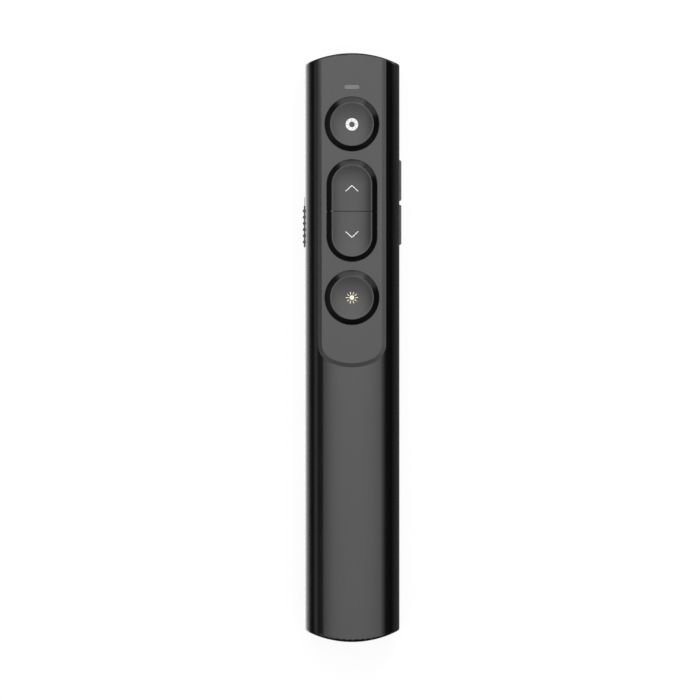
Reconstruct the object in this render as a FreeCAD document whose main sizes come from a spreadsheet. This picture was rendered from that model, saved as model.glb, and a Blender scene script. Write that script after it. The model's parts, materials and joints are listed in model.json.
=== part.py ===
import FreeCAD, Part
import math
import os
import re
import Sketcher

# Wireless presentation clicker, lying on its back, controls up.
# X runs across the body, Y along it towards the laser end, Z up out of the control face.
# The origin lies on the flat back, halfway along the body. All sizes are in millimetres.

doc = FreeCAD.newDocument("presentation_clicker")
sheet = doc.addObject("Spreadsheet::Sheet", "Sizes")
names = []
subparts = []

X = FreeCAD.Vector(1, 0, 0)
Y = FreeCAD.Vector(0, 1, 0)
Z = FreeCAD.Vector(0, 0, 1)
ALONG = {
    "x": FreeCAD.Rotation(Y, 90),
    "y": FreeCAD.Rotation(X, -90),
    "z": FreeCAD.Rotation(),
}
SIDES = {"left": "-1", "right": "1"}


def size(name, value, meaning):
    """Add one driving dimension to the sheet."""
    names.append(name)
    row = len(names)
    sheet.set("A%d" % row, meaning)
    sheet.set("B%d" % row, str(value))
    sheet.setAlias("B%d" % row, name)


def fill_sheet():
    # Outer body
    size("body_length", 144.0, "laser end to tail, on the centre line")
    size("body_width", 23.25, "across the two flat sides")
    size("body_height", 15.2, "back to the crown of the body")
    size("crown_radius", 45.0, "gentle crown across the control face")
    size("shoulder_radius", 5.6, "rounding between crown and side")
    size("heel_radius", 5.0, "rounding between side and back")
    size("front_arc", 25.7, "plan radius of the laser end")
    size("tail_arc", 24.5, "plan radius of the tail")
    size("end_round", 0.8, "rounding all round both ends")
    size("wall", 1.5, "shell wall")
    size("seam_height", 4.4, "top edge of the lower shell")
    size("seam_gap", 0.1, "open line between the shells")
    size("front_roof", 12.8, "underside of the roof below the keys")
    size("rear_roof", 13.6, "underside of the roof over the battery")
    size("inner_shoulder", 2.5, "inside rounding under the front roof")
    size("inner_heel", 3.5, "inside rounding above the floor")
    # Control panel
    size("panel_flat", 14.7, "width of the flat panel face")
    size("panel_bevel", 1.0, "plan width of the bevel round the panel")
    size("panel_bevel_drop", 0.16, "height of that bevel")
    size("panel_top", 15.55, "flat panel face above the back")
    size("panel_seat", 14.0, "bottom of the recess that holds the panel")
    size("panel_end", 3.82, "flat face past the middle, towards the tail")
    size("panel_end_arc", 11.7, "plan radius of the panel's lower edge")
    size("panel_corner", 3.9, "plan radius of the panel's lower corners")
    size("panel_front_round", 0.5, "rounding of the panel at the laser end")
    # Face keys
    size("key_gap", 0.12, "gap round every key")
    size("round_key_radius", 6.62, "foot of the sloping skirt of a round key")
    size("round_face_radius", 5.35, "face of a round key")
    size("page_key_radius", 6.14, "foot of the skirt of the page keys")
    size("page_face_radius", 4.95, "face of the page keys")
    size("key_top", 16.5, "rim of every face key above the back")
    size("key_rim", 0.2, "flat rim round the dished face")
    size("dish_depth", 0.38, "hollow of the key face")
    size("key_travel", 0.4, "push of a face key")
    size("mode_key_place", 54.66, "middle of the upper round key")
    size("laser_key_place", 12.21, "middle of the laser key")
    size("page_keys_place", 33.5, "middle of the page key pair")
    size("page_arc_offset", 6.325, "from the pair's middle to its end arc's centre")
    size("page_split", 33.41, "line between the two page keys")
    size("page_notch", 0.45, "side of the notch where the split meets the skirt")
    size("flange_reach", 0.4, "flange beyond the key's foot")
    size("flange_top", 12.6, "top of the flange under the roof")
    size("flange_bottom", 11.9, "underside of the flange")
    size("stem_bottom", 11.4, "foot of the stem on the switch plunger")
    size("stem_radius", 2.0, "stem under a face key")
    size("key_hollow_top", 14.6, "roof of the hollow under the key")
    size("key_wall", 1.0, "key wall round that hollow")
    # Side keys and power slider
    size("side_low", 6.0, "bottom of the side controls")
    size("side_high", 9.4, "top of the side controls")
    size("side_reach", 12.1, "outer face of the side keys from the middle")
    size("side_round", 0.45, "rounding of the side keys' outer corners in plan")
    size("side_edge_round", 0.12, "rounding along the side keys' edges")
    size("side_travel", 0.35, "push of a side key")
    size("upper_key_front", 45.86, "front end of the upper side key")
    size("upper_key_back", 35.88, "rear end of the upper side key")
    size("lower_key_front", 34.95, "front end of the lower side key")
    size("lower_key_back", 25.11, "rear end of the lower side key")
    size("slider_front", 34.65, "front end of the power slider, switched off")
    size("slider_back", 24.6, "rear end of the power slider, switched off")
    size("slider_high", 10.2, "top of the power slider")
    size("slider_face", 11.78, "slider face between its ribs, from the middle")
    size("slider_rib_reach", 12.04, "tip of the slider's ribs, from the middle")
    size("slider_rib_pitch", 1.517, "spacing of the slider's ribs")
    size("slider_rib_width", 1.05, "foot of one rib")
    size("slider_rib_tip", 0.3, "blunt tip of one rib")
    size("slider_rib_count", 6, "ribs on the slider")
    size("slider_travel", 2.0, "off to on")
    size("catch_inner", 9.35, "inner face of the catch plates behind the wall")
    size("catch_outer", 9.9, "outer face of those plates")
    size("catch_lap", 0.6, "catch plate beyond the slot")
    # Board and switches
    size("board_width", 17.2, "main board across")
    size("board_back", 5.0, "rear edge of the main board")
    size("board_front", 61.0, "front edge of the main board")
    size("board_bottom", 5.6, "underside of the main board")
    size("board_thick", 1.0, "main board")
    size("switch_side", 6.0, "square face switch")
    size("switch_tall", 3.5, "face switch housing")
    size("plunger_radius", 1.75, "face switch plunger")
    size("plunger_foot", 9.2, "lower end of a plunger inside its housing")
    size("plunger_rest", 0.2, "room left under a plunger that is pushed right down")
    size("side_switch_back", 4.6, "inner end of a side switch")
    size("side_switch_face", 8.0, "outer end of a side switch")
    size("side_switch_long", 5.2, "side switch along the body")
    size("side_plunger_radius", 0.9, "side switch plunger")
    size("side_plunger_foot", 7.2, "inner end of that plunger")
    size("side_axis", 7.9, "height of the side plungers and the lever")
    size("catch_end_lap", 0.3, "catch plate beyond the ends of its key")
    size("lever_wide", 1.5, "slide switch lever along the body")
    size("lever_tall", 1.0, "slide switch lever")
    size("fork_wide", 3.2, "slider's fork along the body")
    size("fork_tall", 2.0, "slider's fork")
    size("power_switch_half", 3.2, "half the slide switch, without its travel")
    size("bore_gap", 0.1, "running clearance of plungers and lever")
    size("chip_side", 5.0, "square radio chip")
    size("chip_tall", 0.9, "radio chip")
    size("chip_place", 20.7, "middle of the radio chip")
    size("crystal_side", 5.6, "middle of the crystal, from the middle line")
    size("crystal_wide", 3.2, "crystal across the body")
    size("crystal_long", 2.5, "crystal along the body")
    size("crystal_tall", 0.8, "crystal")
    size("board_screw_side", 6.4, "board screws from the middle")
    size("board_screw_back", 9.0, "rear board screws")
    size("board_screw_front", 57.6, "front board screws")
    size("board_boss_radius", 1.9, "posts under the board")
    size("board_screw_radius", 0.8, "board screw shank")
    size("board_head_radius", 1.6, "board screw head")
    size("board_head_tall", 0.9, "board screw head")
    # Light guide and laser
    size("led_place", 63.7, "middle of the indicator window")
    size("led_long", 3.8, "window across the panel")
    size("led_wide", 1.13, "window along the panel")
    size("led_gap", 0.04, "fit of the light guide in the panel")
    size("led_chip_place", 59.5, "indicator diode on the board")
    size("led_chip_wide", 1.6, "indicator diode across the body")
    size("led_chip_long", 0.8, "indicator diode along the body")
    size("led_chip_tall", 0.6, "indicator diode")
    size("guide_arm_bottom", 10.3, "underside of the light guide's arm")
    size("guide_arm_top", 11.3, "top of that arm")
    size("guide_foot", 7.4, "lower end of the light guide")
    size("guide_leg_wide", 1.8, "leg of the light guide across the body")
    size("guide_leg_long", 1.2, "leg of the light guide along the body")
    size("laser_axis", 7.0, "laser above the back")
    size("laser_radius", 3.0, "laser barrel")
    size("laser_bore", 2.2, "bore of the laser barrel")
    size("laser_back", 61.4, "rear end of the barrel")
    size("laser_front", 69.6, "front end of the barrel")
    size("laser_hole", 1.6, "beam hole in the end wall")
    size("laser_lip", 0.8, "front wall of the barrel")
    size("lens_thick", 1.4, "laser lens")
    size("diode_base", 1.2, "base disc of the laser diode")
    size("diode_can", 2.3, "can of the laser diode")
    size("diode_can_radius", 1.6, "can of the laser diode")
    size("cradle_back", 62.2, "rear rib under the barrel")
    size("cradle_front", 66.8, "front rib under the barrel")
    size("cradle_thick", 1.2, "ribs under the barrel")
    size("window_radius", 2.3, "clear window over the beam hole")
    size("window_back", 70.9, "inner face of that window")
    size("window_thick", 0.6, "laser window")
    # Battery bay and door
    size("bay_front", 5.1, "front face of the battery bay, behind the middle")
    size("bay_back", 53.4, "rear face of the battery bay, behind the middle")
    size("bay_half", 5.6, "half the inside width of the bay")
    size("bay_wall", 1.2, "bay walls")
    size("bay_top", 12.3, "top edge of the bay walls")
    size("cell_radius", 5.25, "AAA cell")
    size("cell_length", 44.5, "AAA cell with its button")
    size("cell_axis", 6.95, "cell above the back")
    size("button_radius", 1.9, "positive button of the cell")
    size("button_long", 0.9, "positive button of the cell")
    size("contact_thick", 0.4, "contact plates")
    size("contact_half", 4.2, "half the width of a contact plate")
    size("contact_low", 3.1, "bottom of the contact plates")
    size("contact_high", 11.2, "top of the contact plates")
    size("spring_wire", 0.45, "negative spring wire")
    size("spring_wide", 3.4, "spring radius on its plate")
    size("spring_narrow", 2.3, "spring radius at the cell")
    size("spring_turns", 3, "turns of the negative spring")
    size("door_front", 4.0, "front edge of the door, behind the middle")
    size("door_gap", 0.1, "gap round the door")
    size("door_height", 2.6, "top edge of the door's rim")
    size("door_floor", 1.3, "door thickness")
    size("door_hollow", 8.5, "half the width of the door's hollow")
    size("door_front_rim", 1.0, "front rim of the door, open where the cell passes")
    size("door_tail_rim", 3.0, "tail rim of the door on the middle line")
    size("rail_neck", 9.45, "inner face of the door rail's neck, from the middle")
    size("rail_lip", 8.75, "inner face of the door rail's lip, from the middle")
    size("rail_outer", 10.1, "outer face of the door rail, from the middle")
    size("rail_bend", 3.3, "underside of the rail's lip")
    size("rail_top", 3.9, "top of the rail's lip")
    size("rail_cover", 5.1, "top of the rib over the rail's groove")
    size("rail_fit", 0.12, "clearance round the rail")
    size("tongue_inner", 4.5, "inner side of a front tongue, from the middle")
    size("tongue_outer", 7.0, "outer side of a front tongue, from the middle")
    size("tongue_reach", 1.5, "tip of the front tongues, behind the middle")
    size("tongue_low", 1.7, "underside of the front tongues")
    size("tongue_high", 2.4, "top of the front tongues")
    size("grip_count", 5, "thumb grooves on the door")
    size("grip_pitch", 1.5, "spacing of the thumb grooves")
    size("grip_start", 8.0, "first thumb groove, behind the middle")
    size("grip_long", 9.0, "thumb grooves across the door")
    size("grip_deep", 0.35, "thumb groove")
    size("grip_wide", 0.7, "thumb groove")
    # USB receiver and its slot
    size("receiver_axis", 8.1, "receiver above the back")
    size("cap_wide", 14.0, "receiver cap")
    size("cap_tall", 5.6, "receiver cap")
    size("cap_front", 66.6, "front face of the cap, behind the middle")
    size("cap_round", 0.6, "rounding of the cap's long edges")
    size("nail_wide", 6.0, "finger nail notch in the cap")
    size("nail_tall", 0.9, "finger nail notch in the cap")
    size("nail_deep", 0.9, "finger nail notch in the cap")
    size("plug_wide", 12.0, "metal plug")
    size("plug_tall", 4.5, "metal plug")
    size("plug_front", 54.9, "front end of the plug, behind the middle")
    size("plug_wall", 0.3, "sheet of the plug")
    size("tongue_plate", 1.9, "contact block inside the plug")
    size("slot_fit", 0.13, "clearance round the receiver")
    size("slot_end", 54.6, "front end of the slot, behind the middle")
    size("sleeve_half", 8.3, "half the width of the slot's housing")
    size("sleeve_front", 54.7, "front of the slot's housing, behind the middle")
    size("sleeve_top", 13.2, "top of the slot's housing")
    # Case screws
    size("case_screw_side", 6.0, "case screws from the middle")
    size("case_screw_front", 64.0, "front pair of case screws")
    size("case_screw_back", 1.6, "rear pair of case screws")
    size("case_boss_radius", 2.6, "posts round the case screws")
    size("upper_boss_radius", 2.1, "posts under the roof")
    size("case_head_radius", 1.7, "case screw head")
    size("case_head_low", 0.9, "outer face of the screw head")
    size("case_seat", 2.4, "seat of the screw head")
    size("case_shank_radius", 0.95, "case screw shank")
    size("case_shank_top", 9.4, "tip of the case screw")
    size("case_well_radius", 1.95, "well for the screw head")
    size("drive_wide", 0.45, "cross slot in a screw head")
    size("drive_deep", 0.5, "cross slot in a screw head")


def formula(text):
    """Turn a formula of sheet names into an expression on the sheet."""
    def on_sheet(found):
        word = found.group(0)
        return "Sizes." + word if word in names else word
    return re.sub(r"[a-z][a-z_]*", on_sheet, text)


def number(text):
    """Value of a formula of sheet names."""
    result = sheet.evalExpression(formula(text))
    return float(getattr(result, "Value", result))


# Plain solids

def block(name, x, y, z):
    """Box between a low and a high formula on each axis."""
    solid = doc.addObject("Part::Box", name)
    for extent, axis, (low, high) in (("Length", "x", x), ("Width", "y", y), ("Height", "z", z)):
        solid.setExpression("Placement.Base." + axis, formula(low))
        solid.setExpression(extent, formula("(%s) - (%s)" % (high, low)))
    return solid


def rod(name, axis, start, end, radius, **centre):
    """Cylinder along an axis from start to end, with its other two coordinates named."""
    solid = doc.addObject("Part::Cylinder", name)
    solid.Placement = FreeCAD.Placement(FreeCAD.Vector(), ALONG[axis])
    for other, place in dict(centre, **{axis: start}).items():
        solid.setExpression("Placement.Base." + other, formula(place))
    solid.setExpression("Radius", formula(radius))
    solid.setExpression("Height", formula("(%s) - (%s)" % (end, start)))
    return solid


def join(name, solids):
    fused = doc.addObject("Part::MultiFuse", name)
    fused.Shapes = solids
    return fused


def cut(name, base, tools):
    """Take one or more solids out of a base."""
    result = doc.addObject("Part::Cut", name)
    result.Base = base
    result.Tool = tools[0] if len(tools) == 1 else join(name + "_tools", tools)
    return result


def common(name, base, tool):
    result = doc.addObject("Part::Common", name)
    result.Base = base
    result.Tool = tool
    return result


def group(name, solids):
    """Separate like solids in one node."""
    result = doc.addObject("Part::Compound", name)
    result.Links = solids
    return result


def stadium(name, half_long, radius, axis, bottom, top, y):
    """Upright slot shape centred on the middle line, long along X or Y."""
    straight = "(%s) - (%s)" % (half_long, radius)
    ends = []
    for sign in ("-", ""):
        place = {"x": "0", "y": y}
        place[axis] = "(%s) + %s(%s)" % (place[axis], sign or "1 * ", straight)
        ends.append(rod(name + "_end", "z", bottom, top, radius, **place))
    spans = {"x": ("-(%s)" % radius, radius), "y": ("(%s) - (%s)" % (y, radius), "(%s) + (%s)" % (y, radius))}
    middle = {"x": "0", "y": y}[axis]
    spans[axis] = ("(%s) - (%s)" % (middle, straight), "(%s) + (%s)" % (middle, straight))
    core = block(name + "_core", spans["x"], spans["y"], (bottom, top))
    return join(name, ends + [core])


def subpart(solid, label):
    """Name a finished piece and list it for export."""
    solid.Label = label
    subparts.append(solid)
    return solid


# Sketched solids

def new_body(name):
    return doc.addObject("PartDesign::Body", name)


def plane(body, role):
    return [datum for datum in body.Origin.OriginFeatures if datum.Role == role][0]


def new_sketch(body, role, name, height=None):
    """Sketch on one of the body's own planes, raised along its normal if asked."""
    sketch = body.newObject("Sketcher::SketchObject", name)
    sketch.AttachmentSupport = (plane(body, role), [""])
    sketch.MapMode = "FlatFace"
    if height:
        sketch.setExpression("AttachmentOffset.Base.z", formula(height))
    return sketch


def pin_point(sketch, geometry, end, axis, place):
    """Hold one end of a sketch edge at a formula along one sketch axis."""
    if place == "0":
        other_axis = -2 if axis == "X" else -1
        sketch.addConstraint(Sketcher.Constraint("PointOnObject", geometry, end, other_axis))
        return
    rule = Sketcher.Constraint("Distance" + axis, -1, 1, geometry, end, number(place))
    index = sketch.addConstraint(rule)
    sketch.setExpression("Constraints[%d]" % index, formula(place))


def arc_between(start, end, radius):
    """Shorter arc that runs anticlockwise from start to end."""
    middle = (start + end) / 2
    chord = end - start
    height = math.sqrt(radius ** 2 - (chord.Length / 2) ** 2)
    centre = middle + FreeCAD.Vector(-chord.y, chord.x, 0).normalize() * height
    first = math.atan2(start.y - centre.y, start.x - centre.x)
    last = math.atan2(end.y - centre.y, end.x - centre.x)
    if last < first:
        last += 2 * math.pi
    return Part.ArcOfCircle(Part.Circle(centre, Z, radius), first, last)


def outline(sketch, corners, arcs=None):
    """Closed outline through corners given as formulas.

    arcs maps an edge's number to its radius formula, with a leading minus sign for an arc
    that runs clockwise.
    """
    arcs = arcs or {}
    points = [FreeCAD.Vector(number(x), number(y), 0) for x, y in corners]
    ends = []
    for edge, start in enumerate(points):
        end = points[(edge + 1) % len(points)]
        radius = arcs.get(edge)
        if radius is None:
            index = sketch.addGeometry(Part.LineSegment(start, end), False)
            ends.append((index, 1, 2))
        elif radius.startswith("-"):
            index = sketch.addGeometry(arc_between(end, start, number(radius[1:])), False)
            ends.append((index, 2, 1))
        else:
            index = sketch.addGeometry(arc_between(start, end, number(radius)), False)
            ends.append((index, 1, 2))
    for edge, (index, first, last) in enumerate(ends):
        next_index, next_first, next_last = ends[(edge + 1) % len(ends)]
        sketch.addConstraint(Sketcher.Constraint("Coincident", index, last, next_index, next_first))
    for edge, (index, first, last) in enumerate(ends):
        pin_point(sketch, index, first, "X", corners[edge][0])
        pin_point(sketch, index, first, "Y", corners[edge][1])
        radius = arcs.get(edge)
        if radius:
            radius = radius.lstrip("-")
            rule = sketch.addConstraint(Sketcher.Constraint("Radius", index, number(radius)))
            sketch.setExpression("Constraints[%d]" % rule, formula(radius))


def pad(body, name, sketch, length, symmetric=False, reverse=False):
    feature = body.newObject("PartDesign::Pad", name)
    feature.Profile = sketch
    feature.setExpression("Length", formula(length))
    if symmetric:
        feature.SideType = "Symmetric"
    feature.Reversed = reverse
    return feature


def revolve(body, name, sketch, angle):
    feature = body.newObject("PartDesign::Revolution", name)
    feature.Profile = sketch
    feature.ReferenceAxis = (sketch, ["V_Axis"])
    feature.Angle = angle
    return feature


def bar_section(sketch, half, bottom, top, crown, shoulder, heel):
    """Cross section of the body: flat back, rounded heels, upright sides and a crowned top."""
    size_of = {"h": half, "b": bottom, "t": top, "c": crown, "s": shoulder, "e": heel}
    reach = "sqrt(((%(c)s) - (%(s)s))^2 - ((%(h)s) - (%(s)s))^2)" % size_of
    shoulder_centre = "(%s) - (%s) + %s" % (top, crown, reach)
    share = "((%(c)s) / ((%(c)s) - (%(s)s)))" % size_of
    crown_x = "((%s) - (%s)) * %s" % (half, shoulder, share)
    crown_z = "(%s) - (%s) + %s * %s" % (top, crown, reach, share)
    foot = "(%s) - (%s)" % (half, heel)
    side_foot = "(%s) + (%s)" % (bottom, heel)
    corners = [
        (foot, bottom),
        (half, side_foot),
        (half, shoulder_centre),
        (crown_x, crown_z),
        ("-(%s)" % crown_x, crown_z),
        ("-(%s)" % half, shoulder_centre),
        ("-(%s)" % half, side_foot),
        ("-(%s)" % foot, bottom),
    ]
    outline(sketch, corners, {0: heel, 2: shoulder, 3: crown, 4: shoulder, 6: heel})


def long_bar(name, *section):
    """The body's section, run out past both ends."""
    body = new_body(name)
    sketch = new_sketch(body, "XZ_Plane", name + "_section")
    bar_section(sketch, *section)
    pad(body, name + "_length", sketch, "body_length + 20", symmetric=True)
    return body


def plan_form(name, inset):
    """Upright block with the plan arcs of both ends, wider than the body."""
    body = new_body(name)
    sketch = new_sketch(body, "XY_Plane", name + "_plan")
    side = "body_width / 2 + 2"
    front = "body_length / 2 - (%s)" % inset
    front_radius = "front_arc - (%s)" % inset
    tail_radius = "tail_arc - (%s)" % inset
    front_side = "%s - (%s) + sqrt((%s)^2 - (%s)^2)" % (front, front_radius, front_radius, side)
    tail_side = "-(%s) + (%s) - sqrt((%s)^2 - (%s)^2)" % (front, tail_radius, tail_radius, side)
    corners = [
        (side, front_side),
        ("-(%s)" % side, front_side),
        ("-(%s)" % side, tail_side),
        (side, tail_side),
    ]
    outline(sketch, corners, {0: front_radius, 2: tail_radius})
    pad(body, name + "_height", sketch, "body_height * 4", symmetric=True)
    return body


def end_edges(solid):
    """Numbers of the edges that run round the two ends of the body."""
    limit = number("body_length / 2 - 4")
    found = []
    for index, edge in enumerate(solid.Shape.Edges, start=1):
        if edge.BoundBox.YMin > limit or edge.BoundBox.YMax < -limit:
            found.append(index)
    return found


def make_forms():
    """Outside of the body and the two hollows inside it."""
    bar = long_bar("outer_bar", "body_width / 2", "0", "body_height",
                   "crown_radius", "shoulder_radius", "heel_radius")
    raw = common("outer_raw", bar, plan_form("outer_plan", "0"))
    doc.recompute()
    outer = doc.addObject("Part::Fillet", "outer_form")
    outer.Base = raw
    rounding = number("end_round")
    outer.Edges = [(index, rounding, rounding) for index in end_edges(raw)]
    inner_plan = plan_form("inner_plan", "wall + 0.3")
    front_bar = long_bar("front_bar", "body_width / 2 - wall", "wall", "front_roof",
                         "crown_radius * 10", "inner_shoulder", "inner_heel")
    rear_bar = long_bar("rear_bar", "body_width / 2 - wall", "wall", "rear_roof",
                        "crown_radius - wall", "inner_heel", "inner_heel")
    front = common("front_hollow", front_bar, inner_plan)
    rear = common("rear_hollow", rear_bar, inner_plan)
    return outer, front, rear


# Shells and panel

def panel_outline(sketch, grow):
    """Plan of the panel: straight sides, a shallow lower arc and two tighter corners."""
    half = "panel_flat / 2 + (%s)" % grow
    corner = "(panel_corner + (%s))" % grow
    bottom_radius = "(panel_end_arc + (%s))" % grow
    lowest = "-panel_end - (%s)" % grow
    difference = "(panel_end_arc - panel_corner)"
    corner_x = "(panel_flat / 2 - panel_corner)"
    drop = "sqrt(%s^2 - %s^2)" % (difference, corner_x)
    side_end = "%s + %s - %s" % (lowest, bottom_radius, drop)
    turn_x = "%s * %s / %s" % (corner_x, bottom_radius, difference)
    turn_y = "%s + %s - %s * %s / %s" % (lowest, bottom_radius, drop, bottom_radius, difference)
    far = "body_length / 2 + 5"
    corners = [
        (half, far),
        ("-(%s)" % half, far),
        ("-(%s)" % half, side_end),
        ("-(%s)" % turn_x, turn_y),
        (turn_x, turn_y),
        (half, side_end),
    ]
    outline(sketch, corners, {2: corner, 3: bottom_radius, 4: corner})


def panel_form(name):
    """Panel with its bevel, run out past the laser end."""
    body = new_body(name)
    foot = new_sketch(body, "XY_Plane", name + "_foot", "panel_seat")
    panel_outline(foot, "panel_bevel")
    pad(body, name + "_plate", foot, "panel_top - panel_bevel_drop - panel_seat")
    low = new_sketch(body, "XY_Plane", name + "_low", "panel_top - panel_bevel_drop")
    panel_outline(low, "panel_bevel")
    high = new_sketch(body, "XY_Plane", name + "_high", "panel_top")
    panel_outline(high, "0")
    doc.recompute()
    bevel = body.newObject("PartDesign::AdditiveLoft", name + "_bevel")
    bevel.Profile = low
    bevel.Sections = [high]
    bevel.Ruled = True
    return body


def face_holes(name, bottom, top):
    """Holes of the four face keys and the indicator window."""
    holes = []
    for place in ("mode_key_place", "laser_key_place"):
        holes.append(rod(name + "_round", "z", bottom, top, "round_key_radius + key_gap", x="0", y=place))
    holes.append(stadium(name + "_page", "page_arc_offset + page_key_radius + key_gap",
                         "page_key_radius + key_gap", "y", bottom, top, "page_keys_place"))
    holes.append(stadium(name + "_led", "led_long / 2", "led_wide / 2", "x", bottom, top, "led_place"))
    return holes


def make_panel(plan):
    full = common("panel_full", panel_form("panel_form"), plan)
    doc.recompute()
    top = number("panel_top")
    limit = number("body_length / 2 - 4")
    front = [index for index, edge in enumerate(full.Shape.Edges, start=1)
             if edge.BoundBox.YMin > limit and abs(edge.BoundBox.ZMin - top) < 0.01]
    rounded = doc.addObject("Part::Fillet", "panel_rounded")
    rounded.Base = full
    rounding = number("panel_front_round")
    rounded.Edges = [(index, rounding, rounding) for index in front]
    holes = face_holes("panel_hole", "panel_seat - 1", "panel_top + 1")
    return subpart(cut("panel_cut", rounded, holes), "control_panel")


def post(name, x, y, bottom, top, radius):
    return rod(name, "z", bottom, top, radius, x=x, y=y)


def case_screw_places():
    for sign in SIDES.values():
        for place in ("case_screw_front", "case_screw_back"):
            yield "%s * case_screw_side" % sign, place


def board_screw_places():
    for sign in SIDES.values():
        for place in ("board_screw_front", "board_screw_back"):
            yield "%s * board_screw_side" % sign, place


def side_window(name, back, front, side, top="side_high"):
    """Opening through a side wall for a key or the slider."""
    low = "%s * body_width / 2 - 3" % SIDES[side]
    high = "%s * body_width / 2 + 3" % SIDES[side]
    return block(name, (low, high), ("(%s) - key_gap" % back, "(%s) + key_gap" % front),
                 ("side_low - key_gap", "%s + key_gap" % top))


def receiver_slot():
    """Room for the receiver, open at the tail."""
    cap = block("slot_cap", ("-cap_wide / 2 - slot_fit", "cap_wide / 2 + slot_fit"),
                ("-body_length / 2 - 2", "-cap_front + slot_fit"),
                ("receiver_axis - cap_tall / 2 - slot_fit", "receiver_axis + cap_tall / 2 + slot_fit"))
    plug = block("slot_plug", ("-plug_wide / 2 - slot_fit", "plug_wide / 2 + slot_fit"),
                 ("-cap_front", "-slot_end"),
                 ("receiver_axis - plug_tall / 2 - slot_fit", "receiver_axis + plug_tall / 2 + slot_fit"))
    return join("receiver_slot", [cap, plug])


def make_upper_shell(outer, front, rear):
    above = block("above_seam", ("-20", "20"), ("-80", "80"), ("seam_height + seam_gap", "30"))
    skin = common("upper_skin", outer, above)
    front_room = common("upper_front_room", front,
                        block("front_zone", ("-20", "20"), ("-bay_front", "80"), ("0", "30")))
    rear_room = common("upper_rear_room", rear,
                       block("rear_zone", ("-20", "20"), ("-80", "-bay_front + 0.5"), ("0", "30")))
    hollow = cut("upper_hollow", skin, [front_room, rear_room])
    sleeve = common("receiver_sleeve", outer,
                    block("sleeve_block", ("-sleeve_half", "sleeve_half"),
                          ("-body_length / 2", "-sleeve_front"),
                          ("seam_height + seam_gap", "sleeve_top")))
    posts = [post("upper_post", x, y, "seam_height + seam_gap", "front_roof + 0.4", "upper_boss_radius")
             for x, y in case_screw_places()]
    solid = join("upper_solid", [hollow, sleeve] + posts)
    tools = face_holes("roof_hole", "front_roof - 1", "body_height + 2")
    tools.append(common("panel_recess", panel_form("recess_form"),
                        block("recess_zone", ("-20", "20"), ("-80", "80"), ("panel_seat", "30"))))
    tools.append(side_window("upper_key_window", "upper_key_back", "upper_key_front", "right"))
    tools.append(side_window("lower_key_window", "lower_key_back", "lower_key_front", "right"))
    tools.append(side_window("slider_window", "slider_back", "slider_front + slider_travel", "left",
                             "slider_high"))
    tools.append(receiver_slot())
    tools.append(rod("beam_hole", "y", "body_length / 2 - 5", "body_length / 2 + 1", "laser_hole",
                     x="0", z="laser_axis"))
    tools.append(rod("window_seat", "y", "window_back", "body_length / 2 + 1", "window_radius + 0.05",
                     x="0", z="laser_axis"))
    tools += [post("upper_pilot", x, y, "seam_height", "case_shank_top + 0.6", "case_shank_radius + 0.02")
              for x, y in case_screw_places()]
    return subpart(cut("upper_cut", solid, tools), "upper_shell")


def rail_blocks(name, grow, back, front, floor):
    """Hooked rails along both sides of the door, or the grooves that take them."""
    outer = "rail_outer + (%s)" % grow
    necks = mirrored_blocks(name + "_neck", "rail_neck - (%s)" % grow, outer, (back, front),
                            (floor, "rail_top"))
    lips = mirrored_blocks(name + "_lip", "rail_lip - (%s)" % grow, outer, (back, front),
                           ("rail_bend - (%s)" % grow, "rail_top + (%s)" % grow))
    return necks + lips


def mirrored_blocks(name, low, high, y, z):
    """The same box on both sides of the middle."""
    return [block(name + "_left", ("-(%s)" % high, "-(%s)" % low), y, z),
            block(name + "_right", (low, high), y, z)]


def make_lower_shell(outer, front):
    below = block("below_seam", ("-20", "20"), ("-80", "80"), ("-5", "seam_height"))
    skin = common("lower_skin", outer, below)
    room = common("lower_room", front,
                  block("lower_zone", ("-20", "20"), ("-door_front + door_gap + bay_wall", "80"),
                        ("0", "30")))
    door_room = block("door_room", ("-20", "20"), ("-80", "-door_front + door_gap"),
                      ("-5", "door_height + door_gap"))
    hollow = cut("lower_hollow", skin, [room, door_room])
    tub = block("bay_tub", ("-bay_half - bay_wall", "bay_half + bay_wall"),
                ("-bay_back - bay_wall", "-bay_front + bay_wall"), ("seam_height - 0.5", "bay_top"))
    covers = mirrored_blocks("rail_roof", "sleeve_half + 0.15", "body_width / 2 - wall - 0.12",
                             ("-body_length / 2 + 5.5", "-bay_front"), ("seam_height - 0.3", "rail_cover"))
    case_posts = [post("lower_post", x, y, "wall / 2", "seam_height", "case_boss_radius")
                  for x, y in case_screw_places()]
    board_posts = [post("board_post", x, y, "wall / 2", "board_bottom", "board_boss_radius")
                   for x, y in board_screw_places()]
    cradles = [block("laser_cradle", ("-laser_radius - 0.8", "laser_radius + 0.8"),
                     (start, "%s + cradle_thick" % start), ("wall / 2", "laser_axis - 1"))
               for start in ("cradle_back", "cradle_front")]
    solid = join("lower_solid", [hollow, tub] + covers + case_posts + board_posts + cradles)
    tools = [block("bay_room", ("-bay_half", "bay_half"), ("-bay_back", "-bay_front"), ("-5", "20"))]
    tools += rail_blocks("groove", "rail_fit", "-80", "-door_front - 1.9", "door_height - 0.5")
    tools += mirrored_blocks("tongue_slot", "tongue_inner - 0.12", "tongue_outer + 0.12",
                             ("-door_front - 1", "-door_front + door_gap + bay_wall + 0.3"),
                             ("wall", "tongue_high + 0.1"))
    tools += [post("screw_well", x, y, "-1", "case_seat", "case_well_radius") for x, y in case_screw_places()]
    tools += [post("screw_pass", x, y, "0", "seam_height + 1", "case_shank_radius + 0.15")
              for x, y in case_screw_places()]
    tools += [post("board_pilot", x, y, "wall + 0.6", "board_bottom + 1", "board_screw_radius + 0.02")
              for x, y in board_screw_places()]
    tools.append(rod("barrel_room", "y", "50", "body_length / 2 - 2.2", "laser_radius + 0.03",
                     x="0", z="laser_axis"))
    return subpart(cut("lower_cut", solid, tools), "lower_shell")


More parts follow.
